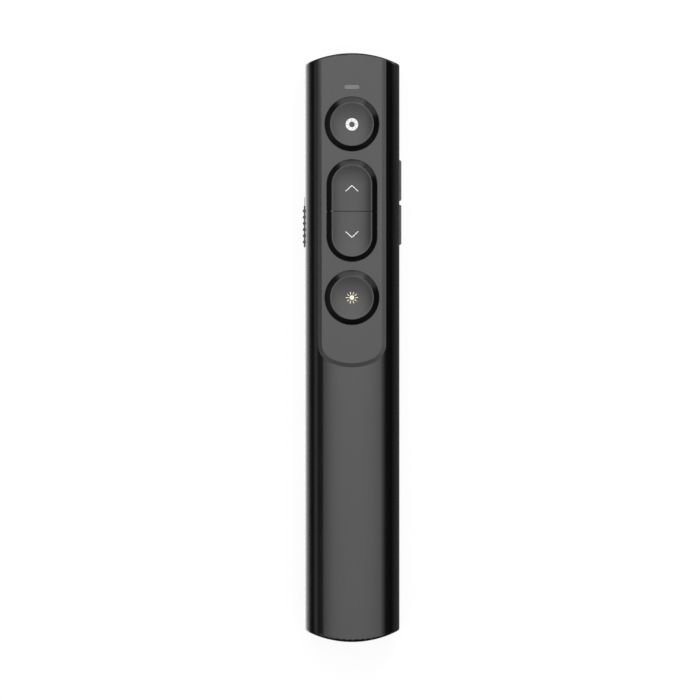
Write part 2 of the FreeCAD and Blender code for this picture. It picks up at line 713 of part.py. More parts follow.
def screw(name, x, y, head_low, seat, tip, head_radius, shank_radius, points_up):
    """Cross-headed screw standing on the Z axis, its tip up or down."""
    head = post(name + "_head", x, y, head_low, seat, head_radius)
    ends = (seat, tip) if points_up else (tip, head_low)
    shank = post(name + "_shank", x, y, *ends, shank_radius)
    face = ("(%s) - 1" % head_low, "(%s) + drive_deep" % head_low)
    if not points_up:
        face = ("(%s) - drive_deep" % seat, "(%s) + 1" % seat)
    arm = "(%s) * 0.6" % head_radius
    thin = "drive_wide / 2"
    drive = [
        block(name + "_slot", ("(%s) - %s" % (x, arm), "(%s) + %s" % (x, arm)),
              ("(%s) - %s" % (y, thin), "(%s) + %s" % (y, thin)), face),
        block(name + "_slot", ("(%s) - %s" % (x, thin), "(%s) + %s" % (x, thin)),
              ("(%s) - %s" % (y, arm), "(%s) + %s" % (y, arm)), face),
    ]
    return cut(name, join(name + "_blank", [head, shank]), drive)


def make_screws():
    case = [screw("case_screw", x, y, "case_head_low", "case_seat", "case_shank_top",
                  "case_head_radius", "case_shank_radius", True) for x, y in case_screw_places()]
    subpart(group("case_screw_group", case), "case_screws")
    top = "board_bottom + board_thick"
    board = [screw("board_screw", x, y, top, "%s + board_head_tall" % top, "wall + 1.2",
                   "board_head_radius", "board_screw_radius", False) for x, y in board_screw_places()]
    subpart(group("board_screw_group", board), "board_screws")


# Face keys

def key_profile(sketch, foot, face):
    """Half section of a face key: dished face, rim, sloping skirt, flange, hollow and stem."""
    inner = "(%s) - key_rim" % face
    hollow = "(%s) - key_wall" % foot
    flange = "(%s) + flange_reach" % foot
    corners = [
        ("0", "stem_bottom"),
        ("stem_radius", "stem_bottom"),
        ("stem_radius", "key_hollow_top"),
        (hollow, "key_hollow_top"),
        (hollow, "flange_bottom"),
        (flange, "flange_bottom"),
        (flange, "flange_top"),
        (foot, "flange_top"),
        (foot, "panel_top - 0.05"),
        (face, "key_top"),
        (inner, "key_top"),
        ("0", "key_top - dish_depth"),
    ]
    dish = "-((%s)^2 + dish_depth^2) / (2 * dish_depth)" % inner
    outline(sketch, corners, {10: dish})


def round_key(name, place, label):
    body = new_body(name)
    sketch = new_sketch(body, "XZ_Plane", name + "_profile")
    key_profile(sketch, "round_key_radius", "round_face_radius")
    revolve(body, name + "_turned", sketch, 360)
    body.setExpression("Placement.Base.y", formula(place))
    return subpart(body, label)


def page_key(name, label, turned):
    """Half of the page key pair: a turned end and a straight run up to the split."""
    body = new_body(name)
    end_sketch = new_sketch(body, "XZ_Plane", name + "_end_profile")
    key_profile(end_sketch, "page_key_radius", "page_face_radius")
    revolve(body, name + "_end", end_sketch, 180)
    run_sketch = new_sketch(body, "XZ_Plane", name + "_run_profile")
    key_profile(run_sketch, "page_key_radius", "page_face_radius")
    sign = "-" if turned else "+"
    run = pad(body, name + "_run", run_sketch,
              "page_arc_offset %s (page_keys_place - page_split) - key_gap / 2" % sign)
    doc.recompute()
    other = body.newObject("PartDesign::Mirrored", name + "_other_half")
    other.Originals = [run]
    other.MirrorPlane = (plane(body, "YZ_Plane"), [""])
    body.Tip = other
    body.Placement.Rotation = FreeCAD.Rotation(Z, 180 if turned else 0)
    body.setExpression("Placement.Base.y", formula("page_keys_place %s page_arc_offset"
                                                   % ("-" if turned else "+")))
    notches = []
    for side, sign in SIDES.items():
        notch = doc.addObject("Part::Box", "split_notch")
        for extent in ("Length", "Width"):
            notch.setExpression(extent, formula("page_notch"))
        notch.Height = 6
        notch.Placement.Rotation = FreeCAD.Rotation(Z, 45)
        notch.setExpression("Placement.Base.x", formula("%s * (page_key_radius + 0.12)" % sign))
        notch.setExpression("Placement.Base.y", formula("page_split - page_notch / sqrt(2)"))
        notch.setExpression("Placement.Base.z", formula("flange_top"))
        notches.append(notch)
    return subpart(cut(name + "_cut", body, notches), label)


def make_face_switch(name, place):
    """Square switch on the board with a bore for its plunger, and the plunger under its key."""
    top = "board_bottom + board_thick"
    half = "switch_side / 2"
    housing = block(name + "_block", ("-%s" % half, half),
                    ("%s - %s" % (place, half), "%s + %s" % (place, half)), (top, "%s + switch_tall" % top))
    bore = post(name + "_bore", "0", place, "plunger_foot - key_travel - plunger_rest", "20",
                "plunger_radius + bore_gap")
    subpart(cut(name + "_housing", housing, [bore]), name + "_switch")
    plunger = post(name + "_stick", "0", place, "plunger_foot", "stem_bottom", "plunger_radius")
    subpart(plunger, name + "_plunger")


# Side controls

def side_key(name, back, front, label):
    """Key through the right wall, with a catch plate behind it."""
    head = block(name + "_head", ("catch_inner + 0.2", "side_reach"), (back, front),
                 ("side_low", "side_high"))
    doc.recompute()
    reach = number("side_reach")
    rounding = number("side_round")
    upright = [index for index, edge in enumerate(head.Shape.Edges, start=1)
               if edge.BoundBox.XMin > reach - 0.01 and edge.BoundBox.ZLength > rounding]
    cornered = doc.addObject("Part::Fillet", name + "_cornered")
    cornered.Base = head
    cornered.Edges = [(index, rounding, rounding) for index in upright]
    doc.recompute()
    softening = number("side_edge_round")
    level = [index for index, edge in enumerate(cornered.Shape.Edges, start=1)
             if edge.BoundBox.XMax > reach - 0.01 and edge.BoundBox.ZLength < softening]
    rounded = doc.addObject("Part::Fillet", name + "_rounded")
    rounded.Base = cornered
    rounded.Edges = [(index, softening, softening) for index in level]
    plate = block(name + "_plate", ("catch_inner", "catch_outer"),
                  ("(%s) - catch_end_lap" % back, "(%s) + catch_end_lap" % front),
                  ("side_low - catch_lap", "side_high + catch_lap"))
    return subpart(join(name + "_solid", [rounded, plate]), label)


def make_side_switch(name, back, front):
    """Switch on the board's edge that a side key pushes."""
    middle = "((%s) + (%s)) / 2" % (back, front)
    half = "side_switch_long / 2"
    top = "board_bottom + board_thick"
    housing = block(name + "_block", ("side_switch_back", "side_switch_face"),
                    ("%s - %s" % (middle, half), "%s + %s" % (middle, half)), (top, "side_high"))
    bore = rod(name + "_bore", "x", "side_plunger_foot - side_travel - plunger_rest", "side_switch_face + 1",
               "side_plunger_radius + bore_gap", y=middle, z="side_axis")
    subpart(cut(name + "_housing", housing, [bore]), name + "_switch")
    plunger = rod(name + "_stick", "x", "side_plunger_foot", "catch_inner", "side_plunger_radius",
                  y=middle, z="side_axis")
    subpart(plunger, name + "_plunger")


def make_slider():
    """Ribbed power slider through the left wall, with its catch plate and fork."""
    middle = "(slider_front + slider_back) / 2"
    body = new_body("slider_grip")
    face = new_sketch(body, "XY_Plane", "slider_face_plan", "side_low")
    outline(face, [("-slider_face", "slider_back"), ("-catch_inner - 0.2", "slider_back"),
                   ("-catch_inner - 0.2", "slider_front"), ("-slider_face", "slider_front")])
    pad(body, "slider_block", face, "slider_high - side_low")
    rib = new_sketch(body, "XY_Plane", "slider_rib_plan", "side_low")
    first = "(%s) - slider_rib_pitch * (slider_rib_count - 1) / 2" % middle
    outline(rib, [("-slider_face + 0.1", "%s - slider_rib_width / 2" % first),
                  ("-slider_face + 0.1", "%s + slider_rib_width / 2" % first),
                  ("-slider_rib_reach", "%s + slider_rib_tip / 2" % first),
                  ("-slider_rib_reach", "%s - slider_rib_tip / 2" % first)])
    ridge = pad(body, "slider_rib", rib, "slider_high - side_low")
    doc.recompute()
    ribs = body.newObject("PartDesign::LinearPattern", "slider_ribs")
    ribs.Originals = [ridge]
    ribs.Direction = (rib, ["V_Axis"])
    ribs.setExpression("Length", formula("slider_rib_pitch * (slider_rib_count - 1)"))
    ribs.setExpression("Occurrences", formula("slider_rib_count"))
    body.Tip = ribs
    plate = block("slider_plate", ("-catch_outer", "-catch_inner"),
                  ("slider_back - catch_end_lap", "slider_front + catch_end_lap"),
                  ("side_low - catch_lap", "slider_high + catch_lap"))
    lever_span = ("%s - lever_wide / 2" % middle, "%s + lever_wide / 2" % middle)
    fork = block("slider_fork", ("-catch_inner - 0.1", "-side_switch_face - 0.35"),
                 ("%s - fork_wide / 2" % middle, "%s + fork_wide / 2" % middle),
                 ("side_axis - fork_tall / 2", "side_axis + fork_tall / 2"))
    gap = block("slider_fork_gap", ("-catch_inner", "-side_switch_face"), lever_span,
                ("side_axis - fork_tall", "side_axis + fork_tall"))
    solid = join("slider_solid", [body, plate, cut("slider_fork_cut", fork, [gap])])
    subpart(solid, "power_slider")
    lever = block("slider_lever", ("-catch_inner", "-side_plunger_foot"), lever_span,
                  ("side_axis - lever_tall / 2", "side_axis + lever_tall / 2"))
    subpart(lever, "power_switch_lever")
    top = "board_bottom + board_thick"
    housing = block("power_block", ("-side_switch_face", "-side_switch_back"),
                    ("%s - power_switch_half" % middle, "%s + power_switch_half + slider_travel" % middle),
                    (top, "side_high"))
    track = block("power_track", ("-side_switch_face - 1", "-side_plunger_foot + bore_gap"),
                  ("%s - lever_wide / 2 - bore_gap" % middle,
                   "%s + lever_wide / 2 + slider_travel + bore_gap" % middle),
                  ("side_axis - lever_tall / 2 - bore_gap", "side_axis + lever_tall / 2 + bore_gap"))
    subpart(cut("power_housing", housing, [track]), "power_switch")


# Board, light guide and laser

def on_board(name, x, y, wide, long, tall):
    """Box-shaped component standing on the main board."""
    top = "board_bottom + board_thick"
    return block(name, ("%s - %s / 2" % (x, wide), "%s + %s / 2" % (x, wide)),
                 ("%s - %s / 2" % (y, long), "%s + %s / 2" % (y, long)), (top, "%s + %s" % (top, tall)))


def make_board():
    top = "board_bottom + board_thick"
    blank = block("board_blank", ("-board_width / 2", "board_width / 2"), ("board_back", "board_front"),
                  ("board_bottom", top))
    holes = [post("board_hole", x, y, "0", "20", "board_screw_radius + 0.2") for x, y in board_screw_places()]
    subpart(cut("board_cut", blank, holes), "main_board")
    subpart(on_board("chip", "0", "chip_place", "chip_side", "chip_side", "chip_tall"), "radio_chip")
    subpart(on_board("crystal_can", "crystal_side", "chip_place", "crystal_wide", "crystal_long",
                     "crystal_tall"), "crystal")
    subpart(on_board("led", "0", "led_chip_place", "led_chip_wide", "led_chip_long", "led_chip_tall"),
            "indicator_led")


def make_light_guide():
    """Clear guide from the diode on the board to the window in the panel."""
    post_top = stadium("guide_post", "led_long / 2 - led_gap", "led_wide / 2 - led_gap", "x",
                       "guide_arm_bottom", "panel_top - 0.03", "led_place")
    leg_back = "led_chip_place - guide_leg_long / 2"
    arm = block("guide_arm", ("-led_long / 2 + led_gap", "led_long / 2 - led_gap"),
                (leg_back, "led_place + led_wide / 2 - led_gap"), ("guide_arm_bottom", "guide_arm_top"))
    foot = block("guide_leg", ("-guide_leg_wide / 2", "guide_leg_wide / 2"),
                 (leg_back, "led_chip_place + guide_leg_long / 2"), ("guide_foot", "guide_arm_top"))
    subpart(join("guide_solid", [post_top, arm, foot]), "light_guide")


def make_laser():
    barrel = rod("barrel_blank", "y", "laser_back", "laser_front", "laser_radius", x="0", z="laser_axis")
    bore = rod("barrel_bore", "y", "laser_back - 1", "laser_front - laser_lip", "laser_bore",
               x="0", z="laser_axis")
    mouth = rod("barrel_mouth", "y", "laser_back", "laser_front + 1", "laser_hole", x="0", z="laser_axis")
    subpart(cut("barrel_cut", barrel, [bore, mouth]), "laser_barrel")
    subpart(rod("lens_disc", "y", "laser_front - laser_lip - lens_thick", "laser_front - laser_lip",
                "laser_bore - 0.03", x="0", z="laser_axis"), "laser_lens")
    base = rod("diode_disc", "y", "laser_back", "laser_back + diode_base", "laser_bore - 0.03",
               x="0", z="laser_axis")
    can = rod("diode_cap", "y", "laser_back + diode_base / 2", "laser_back + diode_base + diode_can",
              "diode_can_radius", x="0", z="laser_axis")
    subpart(join("diode_solid", [base, can]), "laser_diode")
    subpart(rod("window_disc", "y", "window_back", "window_back + window_thick", "window_radius",
                x="0", z="laser_axis"), "laser_window")


# Battery, contacts and door

def make_cell():
    tip = "-bay_front - contact_thick"
    can = rod("cell_can", "y", "%s - cell_length" % tip, "%s - button_long" % tip, "cell_radius",
              x="0", z="cell_axis")
    button = rod("cell_button", "y", "%s - button_long - 0.2" % tip, tip, "button_radius",
                 x="0", z="cell_axis")
    subpart(join("cell_solid", [can, button]), "battery_cell")


def make_contacts():
    spans = (("-contact_half", "contact_half"), ("contact_low", "contact_high"))
    front = ("-bay_front - contact_thick", "-bay_front")
    rear = ("-bay_back", "-bay_back + contact_thick")
    subpart(block("positive_plate", spans[0], front, spans[1]), "positive_contact")
    subpart(block("negative_plate", spans[0], rear, spans[1]), "negative_contact")


def cone_place(turn, turns, wide, narrow, height):
    """Point of a cone-shaped coil after so many turns, and the way it heads there."""
    angle = 2 * math.pi * turn
    shrink = (narrow - wide) / turns
    radius = wide + shrink * turn
    out = FreeCAD.Vector(math.cos(angle), math.sin(angle), 0)
    ahead = FreeCAD.Vector(-math.sin(angle), math.cos(angle), 0)
    point = out * radius + Z * (height * turn / turns)
    heading = ahead * radius + (out * shrink + Z * (height / turns)) / (2 * math.pi)
    return point, heading.normalize()


def bent_run(start, heading, end):
    """Arc of less than half a circle that leaves start along heading and reaches end."""
    chord = end - start
    side = heading.cross(chord).cross(heading).normalize()
    radius = chord.Length ** 2 / (2 * chord.dot(side))
    centre = start + side * radius
    outward = ((start + end) / 2 - centre).normalize()
    return Part.Arc(start, centre + outward * radius, end).toShape()


def smooth_pair(start, start_heading, end, end_heading):
    """Two arcs from start to end that run on smoothly into each other."""
    chord = end - start
    both = chord.dot(start_heading + end_heading)
    opening = 2 * (1 - start_heading.dot(end_heading))
    reach = (math.sqrt(both ** 2 + opening * chord.Length ** 2) - both) / opening
    meeting = (start + end + (start_heading - end_heading) * reach) / 2
    heading = (meeting - start - start_heading * reach).normalize()
    return [bent_run(start, start_heading, meeting), bent_run(meeting, heading, end)]


def make_spring():
    """Cone-shaped coil between the rear plate and the cell, two arcs for each half turn."""
    start = number("-bay_back + contact_thick")
    end = number("-bay_front - contact_thick - cell_length")
    wire = number("spring_wire")
    turns = int(number("spring_turns"))
    cone = (turns, number("spring_wide"), number("spring_narrow"), end - start - wire)
    edges = []
    for half_turn in range(2 * turns):
        edges += smooth_pair(*cone_place(half_turn / 2, *cone), *cone_place((half_turn + 1) / 2, *cone))
    point, heading = cone_place(0, *cone)
    section = Part.Wire(Part.makeCircle(wire / 2, point, heading))
    spring = doc.addObject("Part::Feature", "spring_coil")
    spring.Shape = Part.Wire(edges).makePipeShell([section], True)
    spring.Placement = FreeCAD.Placement(FreeCAD.Vector(0, start + wire / 2, number("cell_axis")), ALONG["y"])
    next_turn = cone_place(1, *cone)[0]
    print("negative_spring least gap to itself %.2f mm" % (next_turn.distanceToPoint(point) - wire))
    subpart(spring, "negative_spring")


def make_door(outer):
    """Back cover over the battery: a shallow tray with hooked rails and two front tongues."""
    tray = block("door_tray", ("-20", "20"), ("-80", "-door_front"), ("-5", "door_height"))
    rails = rail_blocks("rail", "0", "-80", "-door_front - 2", "door_height - 0.5")
    tongues = mirrored_blocks("tongue", "tongue_inner", "tongue_outer",
                              ("-door_front - 0.9", "-tongue_reach"), ("tongue_low", "tongue_high"))
    blank = common("door_blank", outer, join("door_envelope", [tray] + rails + tongues))
    tools = [
        block("door_room_inside", ("-door_hollow", "door_hollow"),
              ("-body_length / 2 + door_tail_rim", "-door_front - door_front_rim"), ("door_floor", "20")),
        block("door_cell_pass", ("-tongue_inner + 0.1", "tongue_inner - 0.1"),
              ("-door_front - 2 * door_front_rim", "0"), ("door_floor", "20")),
    ]
    for index in range(int(number("grip_count"))):
        middle = "-grip_start - grip_pitch * %d" % index
        tools.append(block("grip_groove", ("-grip_long / 2", "grip_long / 2"),
                           ("%s - grip_wide / 2" % middle, "%s + grip_wide / 2" % middle),
                           ("-1", "grip_deep")))
    subpart(cut("door_cut", blank, tools), "battery_door")


# Receiver

def make_receiver(outer):
    half = "cap_wide / 2"
    low = "receiver_axis - cap_tall / 2"
    high = "receiver_axis + cap_tall / 2"
    blank = block("cap_blank", ("-%s" % half, half), ("-body_length / 2 - 2", "-cap_front"), (low, high))
    doc.recompute()
    long_edges = [index for index, edge in enumerate(blank.Shape.Edges, start=1) if edge.BoundBox.YLength > 1]
    rounded = doc.addObject("Part::Fillet", "cap_rounded")
    rounded.Base = blank
    rounding = number("cap_round")
    rounded.Edges = [(index, rounding, rounding) for index in long_edges
                     if blank.Shape.Edges[index - 1].BoundBox.XLength < 1]
    shaped = common("cap_shaped", outer, rounded)
    notch = block("nail_notch", ("-nail_wide / 2", "nail_wide / 2"),
                  ("-body_length / 2 - 2", "-body_length / 2 + nail_deep"),
                  ("%s - 1" % low, "%s + nail_tall" % low))
    subpart(cut("cap_cut", shaped, [notch]), "receiver_cap")
    plug_span = ("-plug_wide / 2", "plug_wide / 2")
    plug_z = ("receiver_axis - plug_tall / 2", "receiver_axis + plug_tall / 2")
    plug = block("plug_blank", plug_span, ("-cap_front", "-plug_front"), plug_z)
    inside = block("plug_inside", ("-plug_wide / 2 + plug_wall", "plug_wide / 2 - plug_wall"),
                   ("-cap_front - 1", "-plug_front + 1"),
                   ("receiver_axis - plug_tall / 2 + plug_wall", "receiver_axis + plug_tall / 2 - plug_wall"))
    subpart(cut("plug_cut", plug, [inside]), "receiver_plug")
    subpart(block("plug_block", ("-plug_wide / 2 + plug_wall", "plug_wide / 2 - plug_wall"),
                  ("-cap_front", "-plug_front - 0.3"),
                  ("receiver_axis - plug_tall / 2 + plug_wall",
                   "receiver_axis - plug_tall / 2 + plug_wall + tongue_plate")), "receiver_contacts")


def build():
    fill_sheet()
    doc.recompute()
    outer, front, rear = make_forms()
    doc.recompute()
    make_upper_shell(outer, front, rear)
    make_panel(doc.getObject("outer_plan"))
    make_lower_shell(outer, front)
    make_screws()
    make_board()
    make_light_guide()
    make_laser()
    round_key("mode_key", "mode_key_place", "mode_key")
    page_key("page_up", "page_up_key", False)
    page_key("page_down", "page_down_key", True)
    round_key("laser_key", "laser_key_place", "laser_key")
    make_face_switch("mode", "mode_key_place")
    make_face_switch("page_up", "page_keys_place + page_arc_offset")
    make_face_switch("page_down", "page_keys_place - page_arc_offset")
    make_face_switch("laser", "laser_key_place")
    side_key("upper_side", "upper_key_back", "upper_key_front", "upper_side_key")
    side_key("lower_side", "lower_key_back", "lower_key_front", "lower_side_key")
    make_side_switch("upper_side", "upper_key_back", "upper_key_front")
    make_side_switch("lower_side", "lower_key_back", "lower_key_front")
    make_slider()
    make_cell()
    make_contacts()
    make_spring()
    make_door(outer)
    make_receiver(outer)
    doc.recompute()


def check_and_write():
    """Stop on any failed object, then write each piece to its own file."""
    for item in doc.Objects:
        if "Invalid" in item.State or "Error" in item.State:
            raise RuntimeError("%s failed: %s" % (item.Name, item.State))
    for piece in subparts:
        if piece.Shape.isNull() or not piece.Shape.isValid():
            raise RuntimeError("%s has no valid shape" % piece.Label)
    os.makedirs("parts", exist_ok=True)
    for piece in subparts:
        solids = len(piece.Shape.Solids)
        print("%-22s solids %d, volume %.1f" % (piece.Label, solids, piece.Shape.Volume))
        piece.Shape.exportStep(os.path.join("parts", piece.Label + ".step"))


build()
check_and_write()
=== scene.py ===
import json
import math

import bmesh
import bpy
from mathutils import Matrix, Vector

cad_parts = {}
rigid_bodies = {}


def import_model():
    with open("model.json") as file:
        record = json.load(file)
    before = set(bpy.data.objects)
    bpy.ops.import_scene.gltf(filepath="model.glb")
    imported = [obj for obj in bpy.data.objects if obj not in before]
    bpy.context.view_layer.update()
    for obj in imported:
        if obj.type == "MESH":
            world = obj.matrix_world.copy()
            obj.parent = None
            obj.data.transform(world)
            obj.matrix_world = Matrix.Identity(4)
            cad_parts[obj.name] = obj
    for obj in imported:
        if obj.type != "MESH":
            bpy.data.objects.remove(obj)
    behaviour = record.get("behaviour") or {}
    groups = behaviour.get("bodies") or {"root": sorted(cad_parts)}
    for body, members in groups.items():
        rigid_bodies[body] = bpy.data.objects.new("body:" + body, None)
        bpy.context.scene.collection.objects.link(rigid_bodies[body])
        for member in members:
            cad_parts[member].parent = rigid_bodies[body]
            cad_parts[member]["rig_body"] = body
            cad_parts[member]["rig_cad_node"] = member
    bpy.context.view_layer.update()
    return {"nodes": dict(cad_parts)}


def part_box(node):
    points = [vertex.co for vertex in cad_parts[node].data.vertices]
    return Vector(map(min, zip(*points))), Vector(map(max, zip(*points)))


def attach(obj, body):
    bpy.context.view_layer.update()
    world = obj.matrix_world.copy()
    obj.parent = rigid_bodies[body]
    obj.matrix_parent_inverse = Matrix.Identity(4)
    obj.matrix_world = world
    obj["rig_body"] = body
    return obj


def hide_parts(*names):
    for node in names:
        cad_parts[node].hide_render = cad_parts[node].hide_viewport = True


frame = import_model()

bl_info = {
    "name": "Presentation clicker",
    "version": (1, 0, 0),
    "blender": (4, 5, 0),
    "location": "3D View > Sidebar > Clicker",
    "description": "Dresses the solid parts of a wireless presentation clicker",
    "category": "Object",
}

# X runs across the body, Y along it towards the laser end, Z up out of the control face.
# Everything is in metres.
MM = 0.001
FULL_TURN = 2 * math.pi
TINY = 0.0001 * MM  # corners nearer than this are one corner
SHARP = math.radians(30)  # edges that turn by more than this are moulded edges
CREASE = math.radians(25)  # the same on the pieces that are modelled here
FLANGE = 0.4 * MM  # flange beyond the foot of a face key
ARROW_TIPS = {"page_up_key": 39.76 * MM, "page_down_key": 26.83 * MM}  # along the body

# Layers of the softbox above the clicker: reach to the left, right and back in degrees from
# straight up, as a glossy surface shows it, and radiance.
SOFTBOX_LAYERS = (
    (-14, 16, 2, 0.45),
    (-16.5, 16, 2, 0.40),
    (-16.5, 25, 14, 0.55),
    (-17, 32, 14, 0.35),
    (-18, 41, 28, 0.45),
    (-18, 16, 28, 0.40),
)
SOFTBOX_FRONT = 36  # reach of every layer to the laser end, in degrees
# Lamps round the clicker: turn from the right and lean from straight up in degrees, width and
# length in metres, radiance.
LAMPS = {
    "Front lamp": (90, 68, 1.4, 0.6, 1.3),
    "Front right lamp": (67, 57, 0.25, 0.25, 9),
    "Left fill": (180, 59, 1.2, 0.38, 0.5),
    "Corner lamp 1": (135, 45, 0.7, 0.7, 1.2),
    "Corner lamp 2": (225, 45, 0.7, 0.7, 1.2),
    "Corner lamp 3": (315, 45, 0.7, 0.7, 1.2),
    "Right lamp": (40, 73, 0.6, 0.4, 0.7),
}
# Low lights along the left edge: nearest distance from the middle, and for each light its
# farthest distance and radiance.
RIM_START = 0.0135
RIM_LIGHTS = ((0.023, 1.8), (0.033, 1.0), (0.060, 0.9))


class ClickerSizes(bpy.types.PropertyGroup):
    """Sizes of the pieces that are modelled here, and of the rounding on the rest."""

    body_half: bpy.props.FloatProperty(
        name="Body half width", description="Half the width of the body",
        default=11.625 * MM, unit="LENGTH")
    body_top: bpy.props.FloatProperty(
        name="Body top", description="Crown of the body above its back",
        default=15.2 * MM, unit="LENGTH")
    crown_radius: bpy.props.FloatProperty(
        name="Crown", description="Radius of the crown across the control face",
        default=45 * MM, unit="LENGTH")
    shoulder_radius: bpy.props.FloatProperty(
        name="Shoulder", description="Rounding between the crown and the sides",
        default=5.6 * MM, unit="LENGTH")
    heel_radius: bpy.props.FloatProperty(
        name="Heel", description="Rounding between the sides and the back",
        default=5 * MM, unit="LENGTH")
    shell_rounding: bpy.props.FloatProperty(
        name="Shell edges", description="Rounding of the shells' moulded edges",
        default=0.10 * MM, unit="LENGTH")
    panel_rounding: bpy.props.FloatProperty(
        name="Panel edges", description="Rounding of the control panel's edges",
        default=0.07 * MM, unit="LENGTH")
    small_rounding: bpy.props.FloatProperty(
        name="Small edges", description="Rounding of screws, side keys and slider ribs",
        default=0.05 * MM, unit="LENGTH")
    round_foot: bpy.props.FloatProperty(
        name="Round key foot", description="Radius at the foot of a round key's skirt",
        default=6.62 * MM, unit="LENGTH")
    round_face: bpy.props.FloatProperty(
        name="Round key face", description="Radius of a round key's face",
        default=5.35 * MM, unit="LENGTH")
    page_foot: bpy.props.FloatProperty(
        name="Page key foot", description="Radius at the foot of the page keys' skirt",
        default=6.14 * MM, unit="LENGTH")
    page_face: bpy.props.FloatProperty(
        name="Page key face", description="Radius of the page keys' face",
        default=4.95 * MM, unit="LENGTH")
    key_top: bpy.props.FloatProperty(
        name="Key top", description="Rim of the face keys above the back",
        default=16.5 * MM, unit="LENGTH")
    key_rim: bpy.props.FloatProperty(
        name="Key rim", description="Flat rim round the hollow face",
        default=0.2 * MM, unit="LENGTH")
    dish_depth: bpy.props.FloatProperty(
        name="Dish", description="Depth of the hollow in a key's face",
        default=0.44 * MM, unit="LENGTH")
    key_rounding: bpy.props.FloatProperty(
        name="Key edges", description="Rounding of a key's rim",
        default=0.06 * MM, unit="LENGTH")
    split_place: bpy.props.FloatProperty(
        name="Page key line", description="Line between the two page keys, from the body's middle",
        default=33.33 * MM, unit="LENGTH")
    split_gap: bpy.props.FloatProperty(
        name="Page key gap", description="Gap between the two page keys",
        default=0.15 * MM, unit="LENGTH")
    ring_outer: bpy.props.FloatProperty(
        name="Ring icon", description="Outer radius of the ring on the mode key",
        default=1.53 * MM, unit="LENGTH")
    ring_inner: bpy.props.FloatProperty(
        name="Ring icon hole", description="Inner radius of that ring",
        default=0.69 * MM, unit="LENGTH")
    ring_parts: bpy.props.IntProperty(
        name="Ring parts", description="Curved blades that the ring is made of",
        default=8, min=2, max=16)
    arrow_half: bpy.props.FloatProperty(
        name="Arrow icon", description="Half the width of a page arrow",
        default=1.6 * MM, unit="LENGTH")
    arrow_stroke: bpy.props.FloatProperty(
        name="Arrow stroke", description="Width of a page arrow's stroke",
        default=0.2 * MM, unit="LENGTH")
    arrow_slope: bpy.props.FloatProperty(
        name="Arrow slope", description="Angle of a page arrow's arms across the body",
        default=math.radians(42.5), subtype="ANGLE")
    sun_core: bpy.props.FloatProperty(
        name="Sun icon", description="Radius of the middle of the sun on the laser key",
        default=0.55 * MM, unit="LENGTH")
    sun_rays: bpy.props.IntProperty(
        name="Sun rays", description="Rays of that sun", default=10, min=4, max=24)
    ink: bpy.props.FloatProperty(
        name="Ink", description="Thickness of the printed icons",
        default=0.02 * MM, unit="LENGTH")


class ClickerColours(bpy.types.PropertyGroup):
    """Colours of the finishes, in linear light."""

    shell: bpy.props.FloatVectorProperty(
        name="Shells", description="Moulded plastic of the body", subtype="COLOR",
        default=(0.002, 0.002, 0.0022))
    panel: bpy.props.FloatVectorProperty(
        name="Panel", description="Moulded plastic of the control panel", subtype="COLOR",
        default=(0.002, 0.002, 0.0022))
    keys: bpy.props.FloatVectorProperty(
        name="Face keys", description="Moulded plastic of the face keys", subtype="COLOR",
        default=(0.002, 0.002, 0.0022))
    side_keys: bpy.props.FloatVectorProperty(
        name="Side keys", description="Moulded plastic of the side keys", subtype="COLOR",
        default=(0.035, 0.035, 0.036))
    slider: bpy.props.FloatVectorProperty(
        name="Slider", description="Moulded plastic of the power slider", subtype="COLOR",
        default=(0.01, 0.01, 0.0104))
    icon_white: bpy.props.FloatVectorProperty(
        name="White icons", description="Ink of the ring and the arrows", subtype="COLOR",
        default=(0.8, 0.8, 0.8))
    icon_cream: bpy.props.FloatVectorProperty(
        name="Cream icon", description="Ink of the sun", subtype="COLOR",
        default=(0.92, 0.84, 0.62))
    indicator: bpy.props.FloatVectorProperty(
        name="Indicator", description="Frosted window of the indicator", subtype="COLOR",
        default=(0.13, 0.13, 0.132))
    floor: bpy.props.FloatVectorProperty(
        name="Floor", description="Pale floor", subtype="COLOR", default=(0.1, 0.1, 0.1))


def sizes():
    return bpy.context.scene.clicker_sizes


def colours():
    return bpy.context.scene.clicker_colours


# Working in object and edit mode

def clear_selection():
    if bpy.context.mode != "OBJECT":
        bpy.ops.object.mode_set(mode="OBJECT")
    bpy.ops.object.select_all(action="DESELECT")


def activate(piece):
    clear_selection()
    piece.select_set(True)
    bpy.context.view_layer.objects.active = piece


def edit(piece):
    activate(piece)
    bpy.ops.object.mode_set(mode="EDIT")
    bpy.ops.mesh.select_mode(type="VERT")


def pick(kind, test):
    """Select only the vertices, edges or faces that pass a test, and count them."""
    bpy.ops.mesh.select_mode(type=kind)
    bpy.ops.mesh.select_all(action="DESELECT")
    shape = bpy.context.edit_object.data
    mesh = bmesh.from_edit_mesh(shape)
    items = {"VERT": mesh.verts, "EDGE": mesh.edges, "FACE": mesh.faces}[kind]
    found = [item for item in items if test(item)]
    for item in found:
        item.select_set(True)
    mesh.select_flush_mode()
    bmesh.update_edit_mesh(shape)
    return len(found)


def middle_of(node):
    """Middle of a solid part along the body."""
    low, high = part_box(node)
    return (low.y + high.y) / 2


def take_place():
    """Put the active object's place in its mesh."""
    bpy.ops.object.transform_apply(location=True, rotation=True, scale=True)
    return bpy.context.object


def close_up():
    """Merge doubles and turn the faces outwards, in edit mode."""
    bpy.ops.mesh.select_all(action="SELECT")
    bpy.ops.mesh.remove_doubles(threshold=TINY)
    bpy.ops.mesh.normals_make_consistent(inside=False)
    bpy.ops.object.mode_set(mode="OBJECT")


def use_modifier(piece, kind, **settings):
    """Add a modifier, set it up and apply it."""
    activate(piece)
    modifier = piece.modifiers.new(kind.title(), kind)
    for name, value in settings.items():
        setattr(modifier, name, value)
    bpy.ops.object.modifier_apply(modifier=modifier.name)


